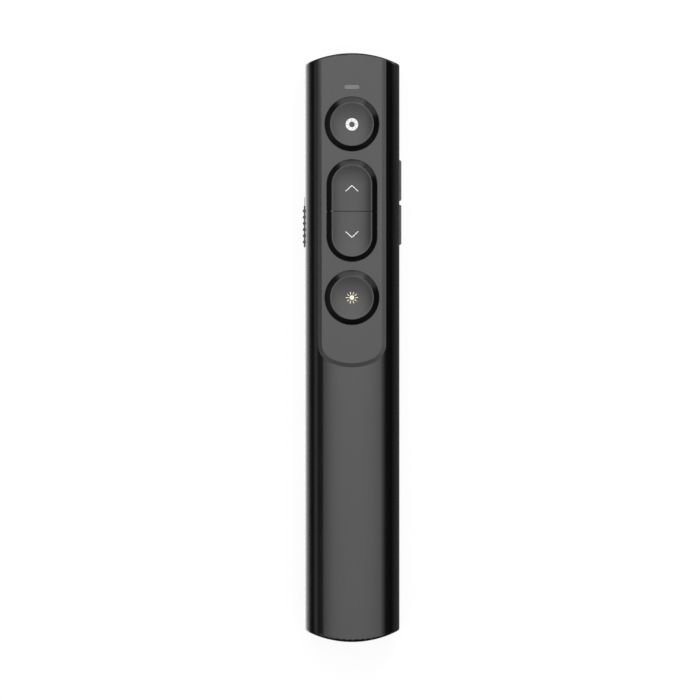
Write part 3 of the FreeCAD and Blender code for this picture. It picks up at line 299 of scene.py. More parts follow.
def round_edges(piece, width):
    """Round every sharp edge and shade the rest smooth."""
    activate(piece)
    bpy.ops.object.shade_smooth_by_angle(angle=SHARP)
    use_modifier(piece, "BEVEL", width=width, segments=2, limit_method="ANGLE", angle_limit=SHARP,
                 use_clamp_overlap=True, harden_normals=True, miter_outer="MITER_ARC")


def fit(piece, name, body, material, slot, *nodes):
    """Name a finished piece, give it its material and hang it on its body."""
    clear_selection()
    piece.name = name
    piece.data.name = name
    piece.data.materials.clear()
    piece.data.materials.append(material)
    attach(piece, body)
    if nodes:
        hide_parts(*nodes)


def joined_copy(node, rounding, cuts=()):
    """Copy of a solid part with its loose triangles joined and its edges rounded.

    Long parts are also cut across at some places along the body, for even shading.
    """
    activate(frame["nodes"][node])
    bpy.ops.object.duplicate()
    piece = bpy.context.object
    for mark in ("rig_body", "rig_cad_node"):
        if mark in piece:
            del piece[mark]
    bpy.ops.mesh.customdata_custom_splitnormals_clear()
    edit(piece)
    bpy.ops.mesh.select_all(action="SELECT")
    doubles = 0.001 * MM
    level = math.radians(0.05)
    bpy.ops.mesh.remove_doubles(threshold=doubles)
    bpy.ops.mesh.dissolve_limited(angle_limit=level)
    for y in cuts:
        bpy.ops.mesh.select_all(action="SELECT")
        bpy.ops.mesh.bisect(plane_co=(0, y, 0), plane_no=(0, 1, 0))
    bpy.ops.object.mode_set(mode="OBJECT")
    round_edges(piece, rounding)
    return piece


def chain(points):
    """Edges through points, drawn by extruding one vertex. Ends in edit mode."""
    clear_selection()
    bpy.ops.mesh.primitive_plane_add(size=MM, location=points[0])
    piece = take_place()
    edit(piece)
    bpy.ops.mesh.select_all(action="SELECT")
    bpy.ops.mesh.merge(type="CENTER")
    for start, end in zip(points, points[1:]):
        step = Vector(end) - Vector(start)
        bpy.ops.mesh.extrude_vertices_move(TRANSFORM_OT_translate={"value": step})
    return piece


# Materials

def add_node(tree, kind, **settings):
    node = tree.nodes.new(kind)
    for name, value in settings.items():
        if name in node.inputs:
            node.inputs[name].default_value = value
        else:
            setattr(node, name, value)
    return node


def new_group(name, inputs, outputs):
    """Empty shader group with named sockets, given as (name, socket type, default)."""
    group = bpy.data.node_groups.new(name, "ShaderNodeTree")
    for label, kind, default in inputs:
        socket = group.interface.new_socket(label, in_out="INPUT", socket_type=kind)
        if default is not None:
            socket.default_value = default
    for label, kind in outputs:
        group.interface.new_socket(label, in_out="OUTPUT", socket_type=kind)
    return group, group.nodes.new("NodeGroupInput"), group.nodes.new("NodeGroupOutput")


def grain_group():
    """Spark-eroded mould texture: fine pits, with broad patches that are a little duller."""
    group, enter, leave = new_group(
        "Moulded grain",
        [("Vector", "NodeSocketVector", None), ("Scale", "NodeSocketFloat", 4000.0),
         ("Colour", "NodeSocketColor", (0.1, 0.1, 0.1, 1)), ("Unevenness", "NodeSocketFloat", 0.1),
         ("Roughness", "NodeSocketFloat", 0.3), ("Spread", "NodeSocketFloat", 0.05)],
        [("Colour", "NodeSocketColor"), ("Roughness", "NodeSocketFloat"),
         ("Height", "NodeSocketFloat")])
    link = group.links.new
    fine = add_node(group, "ShaderNodeTexNoise", Detail=3.0, Roughness=0.55)
    link(enter.outputs["Vector"], fine.inputs["Vector"])
    link(enter.outputs["Scale"], fine.inputs["Scale"])
    pits = add_node(group, "ShaderNodeTexVoronoi", feature="SMOOTH_F1", Smoothness=0.6)
    link(enter.outputs["Vector"], pits.inputs["Vector"])
    link(enter.outputs["Scale"], pits.inputs["Scale"])
    broad = add_node(group, "ShaderNodeTexNoise", Scale=90.0, Detail=4.0, Roughness=0.6)
    link(enter.outputs["Vector"], broad.inputs["Vector"])
    fine_share = 0.7
    height = add_node(group, "ShaderNodeMath", operation="MULTIPLY_ADD")
    link(fine.outputs["Fac"], height.inputs[0])
    height.inputs[1].default_value = fine_share
    link(pits.outputs["Distance"], height.inputs[2])
    link(height.outputs["Value"], leave.inputs["Height"])
    noise_middle = 0.5
    centred = add_node(group, "ShaderNodeMath", operation="SUBTRACT")
    link(broad.outputs["Fac"], centred.inputs[0])
    centred.inputs[1].default_value = noise_middle
    rough = add_node(group, "ShaderNodeMath", operation="MULTIPLY_ADD")
    link(centred.outputs["Value"], rough.inputs[0])
    link(enter.outputs["Spread"], rough.inputs[1])
    link(enter.outputs["Roughness"], rough.inputs[2])
    link(rough.outputs["Value"], leave.inputs["Roughness"])
    shade = add_node(group, "ShaderNodeMath", operation="MULTIPLY_ADD")
    link(centred.outputs["Value"], shade.inputs[0])
    link(enter.outputs["Unevenness"], shade.inputs[1])
    shade.inputs[2].default_value = 1.0
    tint = add_node(group, "ShaderNodeVectorMath", operation="SCALE")
    link(enter.outputs["Colour"], tint.inputs[0])
    link(shade.outputs["Value"], tint.inputs["Scale"])
    link(tint.outputs["Vector"], leave.inputs["Colour"])
    return group


def wear_group():
    """Lighter line along the outer edges, where a hand rubs them."""
    group, enter, leave = new_group(
        "Edge wear",
        [("Vector", "NodeSocketVector", None), ("Reach", "NodeSocketFloat", 0.15 * MM),
         ("Colour", "NodeSocketColor", (0.1, 0.1, 0.1, 1)),
         ("Worn", "NodeSocketColor", (0.2, 0.2, 0.2, 1)), ("Amount", "NodeSocketFloat", 0.3)],
        [("Colour", "NodeSocketColor")])
    link = group.links.new
    rounded = add_node(group, "ShaderNodeBevel", samples=4)
    link(enter.outputs["Reach"], rounded.inputs["Radius"])
    surface = group.nodes.new("ShaderNodeNewGeometry")
    agree = add_node(group, "ShaderNodeVectorMath", operation="DOT_PRODUCT")
    link(rounded.outputs["Normal"], agree.inputs[0])
    link(surface.outputs["Normal"], agree.inputs[1])
    edge = add_node(group, "ShaderNodeMapRange")
    link(agree.outputs["Value"], edge.inputs["Value"])
    edge.inputs["From Min"].default_value = 1.0
    edge.inputs["From Max"].default_value = 0.9
    patches = add_node(group, "ShaderNodeTexNoise", Scale=700.0, Detail=3.0)
    link(enter.outputs["Vector"], patches.inputs["Vector"])
    broken = add_node(group, "ShaderNodeMath", operation="MULTIPLY")
    link(edge.outputs["Result"], broken.inputs[0])
    link(patches.outputs["Fac"], broken.inputs[1])
    mask = add_node(group, "ShaderNodeMath", operation="MULTIPLY", use_clamp=True)
    link(broken.outputs["Value"], mask.inputs[0])
    link(enter.outputs["Amount"], mask.inputs[1])
    blend = add_node(group, "ShaderNodeMix", data_type="RGBA")
    link(mask.outputs["Value"], blend.inputs[0])
    link(enter.outputs["Colour"], blend.inputs[6])
    link(enter.outputs["Worn"], blend.inputs[7])
    link(blend.outputs[2], leave.inputs["Colour"])
    return group


def shared(name, make):
    return bpy.data.node_groups.get(name) or make()


def opaque(colour):
    return (colour[0], colour[1], colour[2], 1.0)


def finish_of(name, colour, roughness, metallic=0.0, grain=4000.0, depth=0.00045 * MM,
              unevenness=0.12, spread=0.06, wear=0.25):
    """Material with a moulded or rolled grain, uneven sheen and slightly rubbed edges."""
    material = bpy.data.materials.get(name)
    if material:
        return material
    material = bpy.data.materials.new(name)
    material.use_nodes = True
    tree = material.node_tree
    link = tree.links.new
    shader = tree.nodes["Principled BSDF"]
    shader.inputs["Metallic"].default_value = metallic
    shader.inputs["IOR"].default_value = 1.5
    place = tree.nodes.new("ShaderNodeTexCoord")
    layer = tree.nodes.new("ShaderNodeGroup")
    layer.node_tree = shared("Moulded grain", grain_group)
    layer.inputs["Scale"].default_value = grain
    layer.inputs["Colour"].default_value = opaque(colour)
    layer.inputs["Unevenness"].default_value = unevenness
    layer.inputs["Roughness"].default_value = roughness
    layer.inputs["Spread"].default_value = spread
    link(place.outputs["Object"], layer.inputs["Vector"])
    link(layer.outputs["Roughness"], shader.inputs["Roughness"])
    bump = add_node(tree, "ShaderNodeBump", Strength=1.0, Distance=depth)
    link(layer.outputs["Height"], bump.inputs["Height"])
    link(bump.outputs["Normal"], shader.inputs["Normal"])
    if wear:
        rub = tree.nodes.new("ShaderNodeGroup")
        rub.node_tree = shared("Edge wear", wear_group)
        worn = [min(1.0, part * 2 + 0.01) for part in colour]
        rub.inputs["Worn"].default_value = opaque(worn)
        rub.inputs["Amount"].default_value = wear
        link(place.outputs["Object"], rub.inputs["Vector"])
        link(layer.outputs["Colour"], rub.inputs["Colour"])
        link(rub.outputs["Colour"], shader.inputs["Base Color"])
    else:
        link(layer.outputs["Colour"], shader.inputs["Base Color"])
    return material


def shell_plastic():
    return finish_of("satin_shell", colours().shell, 0.23)


def panel_plastic():
    return finish_of("satin_panel", colours().panel, 0.24)


def key_plastic():
    return finish_of("satin_key", colours().keys, 0.25)


def side_key_plastic():
    return finish_of("satin_side_key", colours().side_keys, 0.32)


def slider_plastic():
    return finish_of("satin_slider", colours().slider, 0.3, wear=0.5)


def screw_steel():
    return finish_of("zinc_plate", (0.3, 0.3, 0.31), 0.34, metallic=1.0, grain=2500.0,
                     depth=0.003 * MM)


# Pieces

def body_normal(point):
    """Outward direction of the body's section at a point on it, or None off the section."""
    half = sizes().body_half
    shoulder = sizes().shoulder_radius
    heel = sizes().heel_radius
    crown = sizes().crown_radius
    crown_middle = sizes().body_top - crown
    shoulder_x = half - shoulder
    shoulder_z = crown_middle + math.sqrt((crown - shoulder) ** 2 - shoulder_x ** 2)
    crown_end = shoulder_x * crown / (crown - shoulder)
    side = math.copysign(1, point.x)
    if point.z > shoulder_z and abs(point.x) <= crown_end:
        middle, radius = Vector((0, 0, crown_middle)), crown
    elif point.z > shoulder_z:
        middle, radius = Vector((side * shoulder_x, 0, shoulder_z)), shoulder
    elif point.z < heel:
        middle, radius = Vector((side * (half - heel), 0, heel)), heel
    else:
        middle, radius = Vector((0, 0, point.z)), half
    arm = Vector((point.x, 0, point.z)) - middle
    on_section = 0.04 * MM
    if abs(arm.length - radius) > on_section:
        return None
    return arm.normalized()


def true_shading(piece):
    """Give the corners that lie on the body's section the section's own direction."""
    shape = piece.data
    alike = math.cos(math.radians(35))
    directions = []
    for loop, corner in zip(shape.loops, shape.corner_normals):
        own = corner.vector.copy()
        exact = body_normal(shape.vertices[loop.vertex_index].co)
        close = exact is not None and exact.dot(own) > alike
        directions.append(exact if close else own)
    shape.normals_split_custom_set(directions)


class CLICKER_OT_shells(bpy.types.Operator):
    """Upper shell, lower shell and battery door, with moulded edges and satin plastic"""

    bl_idname = "clicker.shells"
    bl_label = "Shells and door"

    def execute(self, context):
        width = sizes().shell_rounding
        cut_spacing = 4 * MM
        cuts = [step * cut_spacing for step in range(-17, 18)]
        for node, body in (("upper_shell", "casing"), ("lower_shell", "casing"),
                           ("battery_door", "battery_door")):
            piece = joined_copy(node, width, cuts=cuts)
            true_shading(piece)
            fit(piece, node + "_skin", body, shell_plastic(), "shell_plastic", node)
        return {"FINISHED"}


class CLICKER_OT_panel(bpy.types.Operator):
    """Raised control panel with its bevel and key holes"""

    bl_idname = "clicker.panel"
    bl_label = "Control panel"

    def execute(self, context):
        piece = joined_copy("control_panel", sizes().panel_rounding)
        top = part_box("control_panel")[1].z
        at_top = 0.001 * MM
        flat = 0.995

        def round_the_face(edge):
            level = all(abs(vertex.co.z - top) < at_top for vertex in edge.verts)
            return level and any(face.normal.z < flat for face in edge.link_faces)

        edit(piece)
        if not pick("EDGE", round_the_face):
            raise RuntimeError("the panel's face has no bevel round it")
        bpy.ops.mesh.mark_sharp()
        bpy.ops.object.mode_set(mode="OBJECT")
        fit(piece, "control_panel_plate", "casing", panel_plastic(), "panel_plastic",
            "control_panel")
        return {"FINISHED"}


def dish_radius(face):
    """Radius of the hollow face, and the half width that it spans."""
    reach = face - sizes().key_rim
    depth = sizes().dish_depth
    return (reach ** 2 + depth ** 2) / (2 * depth), reach


def dish_height(face, out):
    """Height of the hollow face at a distance from its middle line."""
    radius, reach = dish_radius(face)
    top = sizes().key_top
    return top - sizes().dish_depth + radius - math.sqrt(radius ** 2 - out ** 2)


def soften(section, corners, size):
    """Replace some corners of a section by short curves that start a given size away."""
    steps = 4
    soft = []
    for place, point in enumerate(section):
        if point not in corners:
            soft.append(point)
            continue
        corner = Vector(point)
        start = corner + (Vector(section[place - 1]) - corner).normalized() * size
        end = corner + (Vector(section[place + 1]) - corner).normalized() * size
        for step in range(steps + 1):
            along = step / steps
            curve = start.lerp(corner, along).lerp(corner.lerp(end, along), along)
            soft.append((curve.x, curve.y))
    return soft


def key_chain(node, foot, face, centre):
    """Half section of a face key, from the foot of its stem to the middle of its hollow face."""
    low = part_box(node)[0].z
    panel_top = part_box("control_panel")[1].z
    flange_low = low + 0.5 * MM
    flange_top = low + 1.2 * MM
    roof = panel_top - 0.95 * MM
    stem = 2.0 * MM
    hollow = foot - 1.0 * MM
    flange = foot + FLANGE
    skirt_low = panel_top - 0.05 * MM
    top = sizes().key_top
    reach = face - sizes().key_rim
    section = [(0, low), (stem, low), (stem, roof), (hollow, roof), (hollow, flange_low),
               (flange, flange_low), (flange, flange_top), (foot, flange_top), (foot, skirt_low),
               (face, top), (reach, top)]
    rings = 10
    for ring in range(rings - 1, -1, -1):
        out = reach * ring / rings
        section.append((out, dish_height(face, out)))
    corners = [(face, top), (reach, top), (flange, flange_top), (flange, flange_low)]
    section = soften(section, corners, sizes().key_rounding)
    piece = chain([(out, centre, height) for out, height in section])
    bpy.ops.mesh.select_all(action="SELECT")
    return piece


def smooth_faces(piece):
    activate(piece)
    bpy.ops.object.shade_smooth_by_angle(angle=CREASE)


class CLICKER_OT_round_keys(bpy.types.Operator):
    """Mode key and laser key: a dished face with a rim, on a sloping skirt"""

    bl_idname = "clicker.round_keys"
    bl_label = "Round keys"

    def execute(self, context):
        for node in ("mode_key", "laser_key"):
            centre = middle_of(node)
            piece = key_chain(node, sizes().round_foot, sizes().round_face, centre)
            bpy.ops.mesh.spin(steps=128, angle=FULL_TURN, center=(0, centre, 0), axis=(0, 0, 1))
            close_up()
            smooth_faces(piece)
            fit(piece, node + "_cap", node, key_plastic(), "key_plastic", node)
        return {"FINISHED"}


class CLICKER_OT_page_keys(bpy.types.Operator):
    """Page up and page down: a turned end and a straight run up to the split between them"""

    bl_idname = "clicker.page_keys"
    bl_label = "Page keys"

    def execute(self, context):
        foot = sizes().page_foot
        reach = foot + FLANGE
        notch_out = 0.12 * MM
        at_plane = 0.001 * MM
        split = sizes().split_place
        for node, way in (("page_up_key", 1), ("page_down_key", -1)):
            low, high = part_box(node)
            centre = high.y - reach if way > 0 else low.y + reach
            run = abs(centre - split) - sizes().split_gap / 2
            piece = key_chain(node, foot, sizes().page_face, centre)
            bpy.ops.mesh.spin(steps=72, angle=-way * FULL_TURN / 2, center=(0, centre, 0),
                              axis=(0, 0, 1))
            bpy.ops.mesh.select_all(action="SELECT")
            bpy.ops.mesh.remove_doubles(threshold=TINY)

            def on_plane(edge):
                return len(edge.link_faces) == 1 and all(
                    abs(vertex.co.y - centre) < at_plane for vertex in edge.verts)

            pick("EDGE", on_plane)
            bpy.ops.mesh.extrude_region_move(TRANSFORM_OT_translate={"value": (0, -way * run, 0)})
            bpy.ops.mesh.edge_face_add()
            close_up()
            for side in (-1, 1):
                self.notch(piece, side * (foot + notch_out), split)
            smooth_faces(piece)
            fit(piece, node + "_cap", node, key_plastic(), "key_plastic", node)
        return {"FINISHED"}

    def notch(self, piece, x, y):
        """Take an upright square corner out of the skirt at the end of the split."""
        clear_selection()
        side = 0.45 * MM
        tall = 6 * MM
        below_top = 0.9 * MM
        bpy.ops.mesh.primitive_cube_add(size=side, location=(x, y, sizes().key_top - below_top),
                                        rotation=(0, 0, FULL_TURN / 8), scale=(1, 1, tall / side))
        cutter = take_place()
        use_modifier(piece, "BOOLEAN", operation="DIFFERENCE", solver="EXACT", object=cutter)
        bpy.data.objects.remove(cutter)


def icon_ink(name, colour):
    return finish_of(name, colour, 0.45, grain=6000.0, depth=0.001 * MM, unevenness=0.05, wear=0.0)


class CLICKER_OT_icons(bpy.types.Operator):
    """Printed ring, page arrows and sun on the face keys"""

    bl_idname = "clicker.icons"
    bl_label = "Key icons"

    def execute(self, context):
        self.ring()
        self.arrow("page_up_key", 1)
        self.arrow("page_down_key", -1)
        self.sun()
        return {"FINISHED"}

    def fill_outline(self):
        """Fill a closed outline with triangles, in edit mode."""
        bpy.ops.mesh.select_all(action="SELECT")
        bpy.ops.mesh.edge_face_add()
        bpy.ops.mesh.quads_convert_to_tris(ngon_method="BEAUTY")

    def repeat_round(self, count, centre):
        """Copy the whole mesh round the middle of a key, in edit mode."""
        bpy.ops.mesh.select_all(action="SELECT")
        bpy.ops.mesh.spin(steps=count, angle=FULL_TURN, dupli=True,
                          center=(0, centre, sizes().key_top), axis=(0, 0, 1))

    def print_on(self, piece, key, ink):
        """Turn a flat icon face up, drop it on its key's hollow face and make it as thick as ink."""
        bpy.ops.mesh.select_all(action="SELECT")
        bpy.ops.mesh.remove_doubles(threshold=TINY)
        if pick("FACE", lambda face: face.normal.z < 0):
            bpy.ops.mesh.flip_normals()
        bpy.ops.object.mode_set(mode="OBJECT")
        use_modifier(piece, "SHRINKWRAP", wrap_method="PROJECT", use_project_z=True,
                     use_negative_direction=True, use_positive_direction=False,
                     target=bpy.data.objects[key + "_cap"], offset=0.0)
        use_modifier(piece, "SOLIDIFY", thickness=sizes().ink, offset=1.0)
        smooth_faces(piece)
        fit(piece, key.replace("_key", "_icon"), key, ink, "component_white")

    def ring(self):
        """Ring of curved blades with hairlines between them, like a shutter."""
        own = sizes()
        off_centre = 0.1 * MM
        centre = middle_of("mode_key") - off_centre
        steps = 8
        hairline = 0.06 * MM
        twist = math.radians(20)
        blade = FULL_TURN / own.ring_parts
        outline = []
        for radius, turned in ((own.ring_outer, 0), (own.ring_inner, twist)):
            arc = blade - hairline / radius
            side = [(radius * math.cos(turned + arc * step / steps),
                     centre + radius * math.sin(turned + arc * step / steps), own.key_top)
                    for step in range(steps + 1)]
            outline += side if radius == own.ring_outer else side[::-1]
        piece = chain(outline)
        self.fill_outline()
        self.repeat_round(own.ring_parts, centre)
        self.print_on(piece, "mode_key", icon_ink("white_ink", colours().icon_white))

    def arrow(self, node, way):
        """Chevron of two arms that meet in a tip."""
        own = sizes()
        tip = ARROW_TIPS[node]
        half = own.arrow_half
        down = -way * half * math.tan(own.arrow_slope)
        inward = own.arrow_stroke * math.sin(own.arrow_slope)
        below = -way * own.arrow_stroke * math.cos(own.arrow_slope)
        under = -way * own.arrow_stroke / math.cos(own.arrow_slope)
        outline = [(-half, tip + down), (0, tip), (half, tip + down),
                   (half - inward, tip + down + below), (0, tip + under),
                   (inward - half, tip + down + below)]
        piece = chain([(x, y, own.key_top) for x, y in outline])
        self.fill_outline()
        self.print_on(piece, node, icon_ink("white_ink", colours().icon_white))

    def sun(self):
        """Disc with short rays round it."""
        own = sizes()
        clear_selection()
        centre = middle_of("laser_key")
        ray_out = 1.14 * MM
        ray_length = 0.7 * MM
        ray_width = 0.23  # of its length
        ray_rounding = 0.07 * MM
        ray_place = (ray_out, centre, own.key_top)
        bpy.ops.mesh.primitive_plane_add(size=ray_length, location=ray_place)
        piece = take_place()
        edit(piece)
        bpy.ops.mesh.select_all(action="SELECT")
        bpy.ops.transform.resize(value=(1, ray_width, 1), center_override=ray_place)
        bpy.ops.mesh.bevel(offset=ray_rounding, segments=2, affect="VERTICES")
        self.repeat_round(own.sun_rays, centre)
        bpy.ops.mesh.primitive_circle_add(vertices=32, radius=own.sun_core, fill_type="NGON",
                                          location=(0, centre, own.key_top))
        self.print_on(piece, "laser_key", icon_ink("cream_ink", colours().icon_cream))


class CLICKER_OT_side_controls(bpy.types.Operator):
    """Two side keys on the right and the ribbed power slider on the left"""

    bl_idname = "clicker.side_controls"
    bl_label = "Side keys and slider"

    def execute(self, context):
        for node in ("upper_side_key", "lower_side_key"):
            piece = joined_copy(node, sizes().small_rounding)
            fit(piece, node + "_cap", node, side_key_plastic(), "side_key_plastic", node)
        piece = joined_copy("power_slider", sizes().small_rounding)
        fit(piece, "power_slider_grip", "power_slider", slider_plastic(), "slider_plastic",
            "power_slider")
        return {"FINISHED"}


class CLICKER_OT_indicator(bpy.types.Operator):
    """Frosted window of the indicator in the panel"""

    bl_idname = "clicker.indicator"
    bl_label = "Indicator window"

    def execute(self, context):
        frosted = finish_of("frosted_guide", colours().indicator, 0.4, grain=3000.0, depth=0.002 * MM,
                            unevenness=0.2, wear=0.0)
        piece = joined_copy("light_guide", sizes().small_rounding)
        fit(piece, "indicator_window", "casing", frosted, "clear_guide", "light_guide")
        return {"FINISHED"}


class CLICKER_OT_screws(bpy.types.Operator):
    """Case screws in their wells"""

    bl_idname = "clicker.screws"
    bl_label = "Screws"

    def execute(self, context):
        piece = joined_copy("case_screws", sizes().small_rounding)
        fit(piece, "case_screw_set", "casing", screw_steel(), "screw_steel", "case_screws")
        piece = joined_copy("board_screws", sizes().small_rounding)
        fit(piece, "board_screw_set", "casing", screw_steel(), "screw_steel", "board_screws")
        return {"FINISHED"}


class CLICKER_OT_receiver(bpy.types.Operator):
    """Plug-in receiver in the tail: plastic cap and metal plug; its contact block is finished with
    the inner parts.
    """

    bl_idname = "clicker.receiver"
    bl_label = "Receiver"

    def execute(self, context):
        plated = finish_of("plug_steel", (0.62, 0.62, 0.63), 0.28, metallic=1.0, grain=1800.0,
                           depth=0.002 * MM)
        for node, name, rounding, material, slot in (
                ("receiver_cap", "receiver_cap_shell", sizes().shell_rounding, shell_plastic(),
                 "receiver_plastic"),
                ("receiver_plug", "receiver_plug_shell", sizes().small_rounding, plated,
                 "component_metal")):
            fit(joined_copy(node, rounding), name, "usb_receiver", material, slot, node)
        return {"FINISHED"}


INNER_FINISHES = {
    "green_board": ((0.015, 0.09, 0.035), 0.35, 0.0),
    "chip_black": ((0.02, 0.02, 0.021), 0.5, 0.0),
    "tinned_metal": ((0.62, 0.62, 0.63), 0.3, 1.0),
    "white_plastic": ((0.72, 0.71, 0.68), 0.4, 0.0),
    "turned_brass": ((0.72, 0.5, 0.22), 0.3, 1.0),
    "clear_lens": ((0.07, 0.006, 0.006), 0.08, 0.0),
    "ivory_nylon": ((0.66, 0.64, 0.58), 0.45, 0.0),
    "cell_sleeve": ((0.28, 0.29, 0.31), 0.3, 0.0),
    "spring_nickel": ((0.66, 0.64, 0.6), 0.25, 1.0),
}
INNER_NODES = {
    "main_board": "green_board",
    "radio_chip": "chip_black",
    "crystal": "tinned_metal",
    "indicator_led": "white_plastic",
    "laser_barrel": "turned_brass",
    "laser_lens": "clear_lens",
    "laser_diode": "tinned_metal",
    "laser_window": "clear_lens",
    "power_switch": "tinned_metal",
    "power_switch_lever": "chip_black",
    "battery_cell": "cell_sleeve",
    "positive_contact": "spring_nickel",
    "negative_contact": "spring_nickel",
    "negative_spring": "spring_nickel",
    "receiver_contacts": "white_plastic",
}
for switch in ("mode", "page_up", "page_down", "laser", "upper_side", "lower_side"):
    INNER_NODES[switch + "_switch"] = "chip_black"
    INNER_NODES[switch + "_plunger"] = "ivory_nylon"


class CLICKER_OT_inner_parts(bpy.types.Operator):
    """Finishes of the board, switches, laser, cell and contacts inside"""

    bl_idname = "clicker.inner_parts"
    bl_label = "Inner parts"

    def execute(self, context):
        for node, finish in INNER_NODES.items():
            colour, roughness, metallic = INNER_FINISHES[finish]
            material = finish_of(finish, colour, roughness, metallic=metallic, grain=2500.0,
                                 depth=0.002 * MM)
            shape = frame["nodes"][node].data
            shape.materials.clear()
            shape.materials.append(material)
        return {"FINISHED"}


# Stage

def area_lamp(name, place, aim, wide, long, radiance):
    """Soft rectangular lamp that the camera doesn't see, aimed at a point."""
    lamp = bpy.data.lights.new(name, "AREA")
    lamp.shape = "RECTANGLE"
    lamp.size = wide
    lamp.size_y = long
    lamp.energy = radiance * 4 * wide * long
    holder = bpy.data.objects.new(name, lamp)
    bpy.context.scene.collection.objects.link(holder)
    holder.location = place
    holder.rotation_euler = (Vector(aim) - Vector(place)).to_track_quat("-Z", "Y").to_euler()
    holder.visible_camera = False


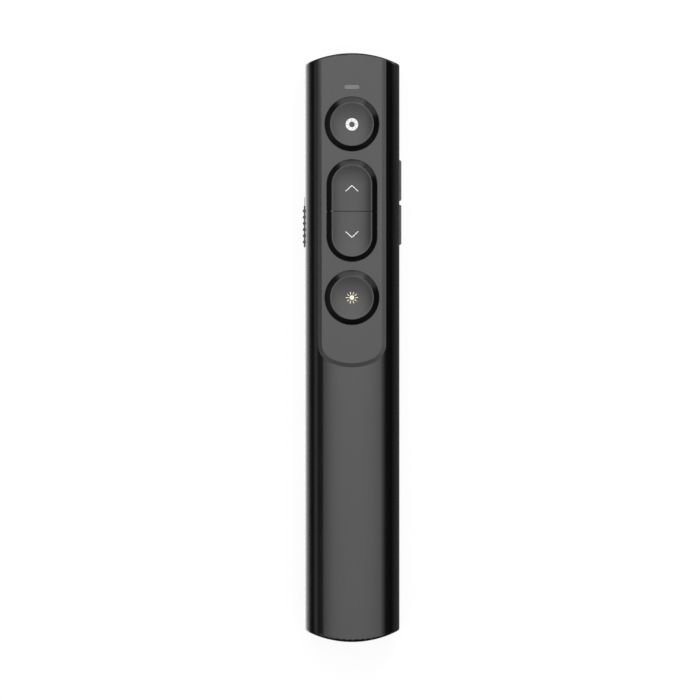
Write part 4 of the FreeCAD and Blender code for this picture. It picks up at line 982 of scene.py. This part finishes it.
class CLICKER_OT_stage(bpy.types.Operator):
    """Pale floor, soft lamps and the camera straight above"""

    bl_idname = "clicker.stage"
    bl_label = "Stage"

    def execute(self, context):
        scene = context.scene
        scene.view_settings.view_transform = "Standard"
        self.floor()
        self.world(scene)
        self.lamps()
        lens = bpy.data.cameras.new("Camera")
        lens.lens = 1500
        lens.sensor_width = 36
        lens.clip_end = 100
        photo_width = 171.3 * MM
        sharp_level = 8 * MM
        camera = bpy.data.objects.new("Camera", lens)
        scene.collection.objects.link(camera)
        height = sharp_level + photo_width * lens.lens / lens.sensor_width
        camera.location = (-0.47 * MM, -0.59 * MM, height)
        scene.camera = camera
        return {"FINISHED"}

    def floor(self):
        """Pale floor that shows white to the camera, a hair under the object's flat back."""
        clear_selection()
        hair = 0.05 * MM
        bpy.ops.mesh.primitive_plane_add(size=6, location=(0, 0, -hair))
        floor = bpy.context.object
        floor.name = "floor"
        material = bpy.data.materials.new("pale_floor")
        material.use_nodes = True
        tree = material.node_tree
        link = tree.links.new
        shader = tree.nodes["Principled BSDF"]
        shader.inputs["Base Color"].default_value = opaque(colours().floor)
        shader.inputs["Roughness"].default_value = 0.9
        shader.inputs["Specular IOR Level"].default_value = 0.0
        rays = tree.nodes.new("ShaderNodeLightPath")
        mirrored_share = 0.1
        white = 0.91
        mirrored = add_node(tree, "ShaderNodeMath", operation="MULTIPLY")
        mirrored.inputs[1].default_value = mirrored_share
        link(rays.outputs["Is Glossy Ray"], mirrored.inputs[0])
        shown = add_node(tree, "ShaderNodeMath", operation="MAXIMUM")
        link(rays.outputs["Is Camera Ray"], shown.inputs[0])
        link(mirrored.outputs["Value"], shown.inputs[1])
        seen_through = add_node(tree, "ShaderNodeMath", operation="MAXIMUM")
        link(shown.outputs["Value"], seen_through.inputs[0])
        link(rays.outputs["Is Transmission Ray"], seen_through.inputs[1])
        level = add_node(tree, "ShaderNodeMath", operation="MULTIPLY")
        level.inputs[1].default_value = white
        link(seen_through.outputs["Value"], level.inputs[0])
        shader.inputs["Emission Color"].default_value = (1, 1, 1, 1)
        link(level.outputs["Value"], shader.inputs["Emission Strength"])
        floor.data.materials.append(material)

    def lamps(self):
        """One softbox with graded edges above, weak lamps round it, and low ones for the rims."""
        away = 1.2
        apart = 10 * MM
        far = away * math.tan(math.radians(SOFTBOX_FRONT))
        for number, (*sides, radiance) in enumerate(SOFTBOX_LAYERS):
            left, right, back = (away * math.tan(math.radians(angle)) for angle in sides)
            place = ((left + right) / 2, (far - back) / 2, away + number * apart)
            area_lamp("Top softbox %d" % (number + 1), place, (place[0], place[1], 0),
                      right - left, far + back, radiance)
        for name, (turn, lean, *lamp) in LAMPS.items():
            turn, lean = math.radians(turn), math.radians(lean)
            place = (away * math.sin(lean) * math.cos(turn), away * math.sin(lean) * math.sin(turn),
                     away * math.cos(lean))
            area_lamp(name, place, (0, 0, 10 * MM), *lamp)
        low = 1 * MM
        for number, (reach, radiance) in enumerate(RIM_LIGHTS):
            middle = -(RIM_START + reach) / 2
            area_lamp("Left rim light %d" % (number + 1), (middle, 0, low), (middle, 0, 1),
                      reach - RIM_START, 0.15, radiance)
        area_lamp("Corner rim light", (0.055, 0.085, low), (0.055, 0.085, 1), 0.05, 0.022, 2.5)

    def world(self, scene):
        """Dim light from all round, and white behind the object."""
        dim, white = 0.02, 1.0
        world = bpy.data.worlds.new("Studio")
        world.use_nodes = True
        scene.world = world
        tree = world.node_tree
        link = tree.links.new
        background = tree.nodes["Background"]
        rays = tree.nodes.new("ShaderNodeLightPath")
        strength = add_node(tree, "ShaderNodeMapRange")
        strength.inputs["To Min"].default_value = dim
        strength.inputs["To Max"].default_value = white
        link(rays.outputs["Is Camera Ray"], strength.inputs["Value"])
        background.inputs["Color"].default_value = (1, 1, 1, 1)
        link(strength.outputs["Result"], background.inputs["Strength"])


OPERATORS = (
    CLICKER_OT_stage,
    CLICKER_OT_shells,
    CLICKER_OT_panel,
    CLICKER_OT_round_keys,
    CLICKER_OT_page_keys,
    CLICKER_OT_icons,
    CLICKER_OT_side_controls,
    CLICKER_OT_indicator,
    CLICKER_OT_screws,
    CLICKER_OT_receiver,
    CLICKER_OT_inner_parts,
)


class VIEW3D_PT_clicker(bpy.types.Panel):
    """Sidebar panel that lists the clicker's pieces, sizes and colours"""

    bl_label = "Presentation clicker"
    bl_space_type = "VIEW_3D"
    bl_region_type = "UI"
    bl_category = "Clicker"

    def draw(self, context):
        layout = self.layout
        for operator in OPERATORS:
            layout.operator(operator.bl_idname)
        for group in (context.scene.clicker_sizes, context.scene.clicker_colours):
            box = layout.box()
            for name in group.__annotations__:
                box.prop(group, name)


CLASSES = (ClickerSizes, ClickerColours) + OPERATORS + (VIEW3D_PT_clicker,)


def register():
    for item in CLASSES:
        bpy.utils.register_class(item)
    bpy.types.Scene.clicker_sizes = bpy.props.PointerProperty(type=ClickerSizes)
    bpy.types.Scene.clicker_colours = bpy.props.PointerProperty(type=ClickerColours)


def unregister():
    del bpy.types.Scene.clicker_colours
    del bpy.types.Scene.clicker_sizes
    for item in reversed(CLASSES):
        bpy.utils.unregister_class(item)


def main():
    register()
    for operator in OPERATORS:
        group, action = operator.bl_idname.split(".")
        getattr(getattr(bpy.ops, group), action)()


if __name__ == "__main__":
    main()
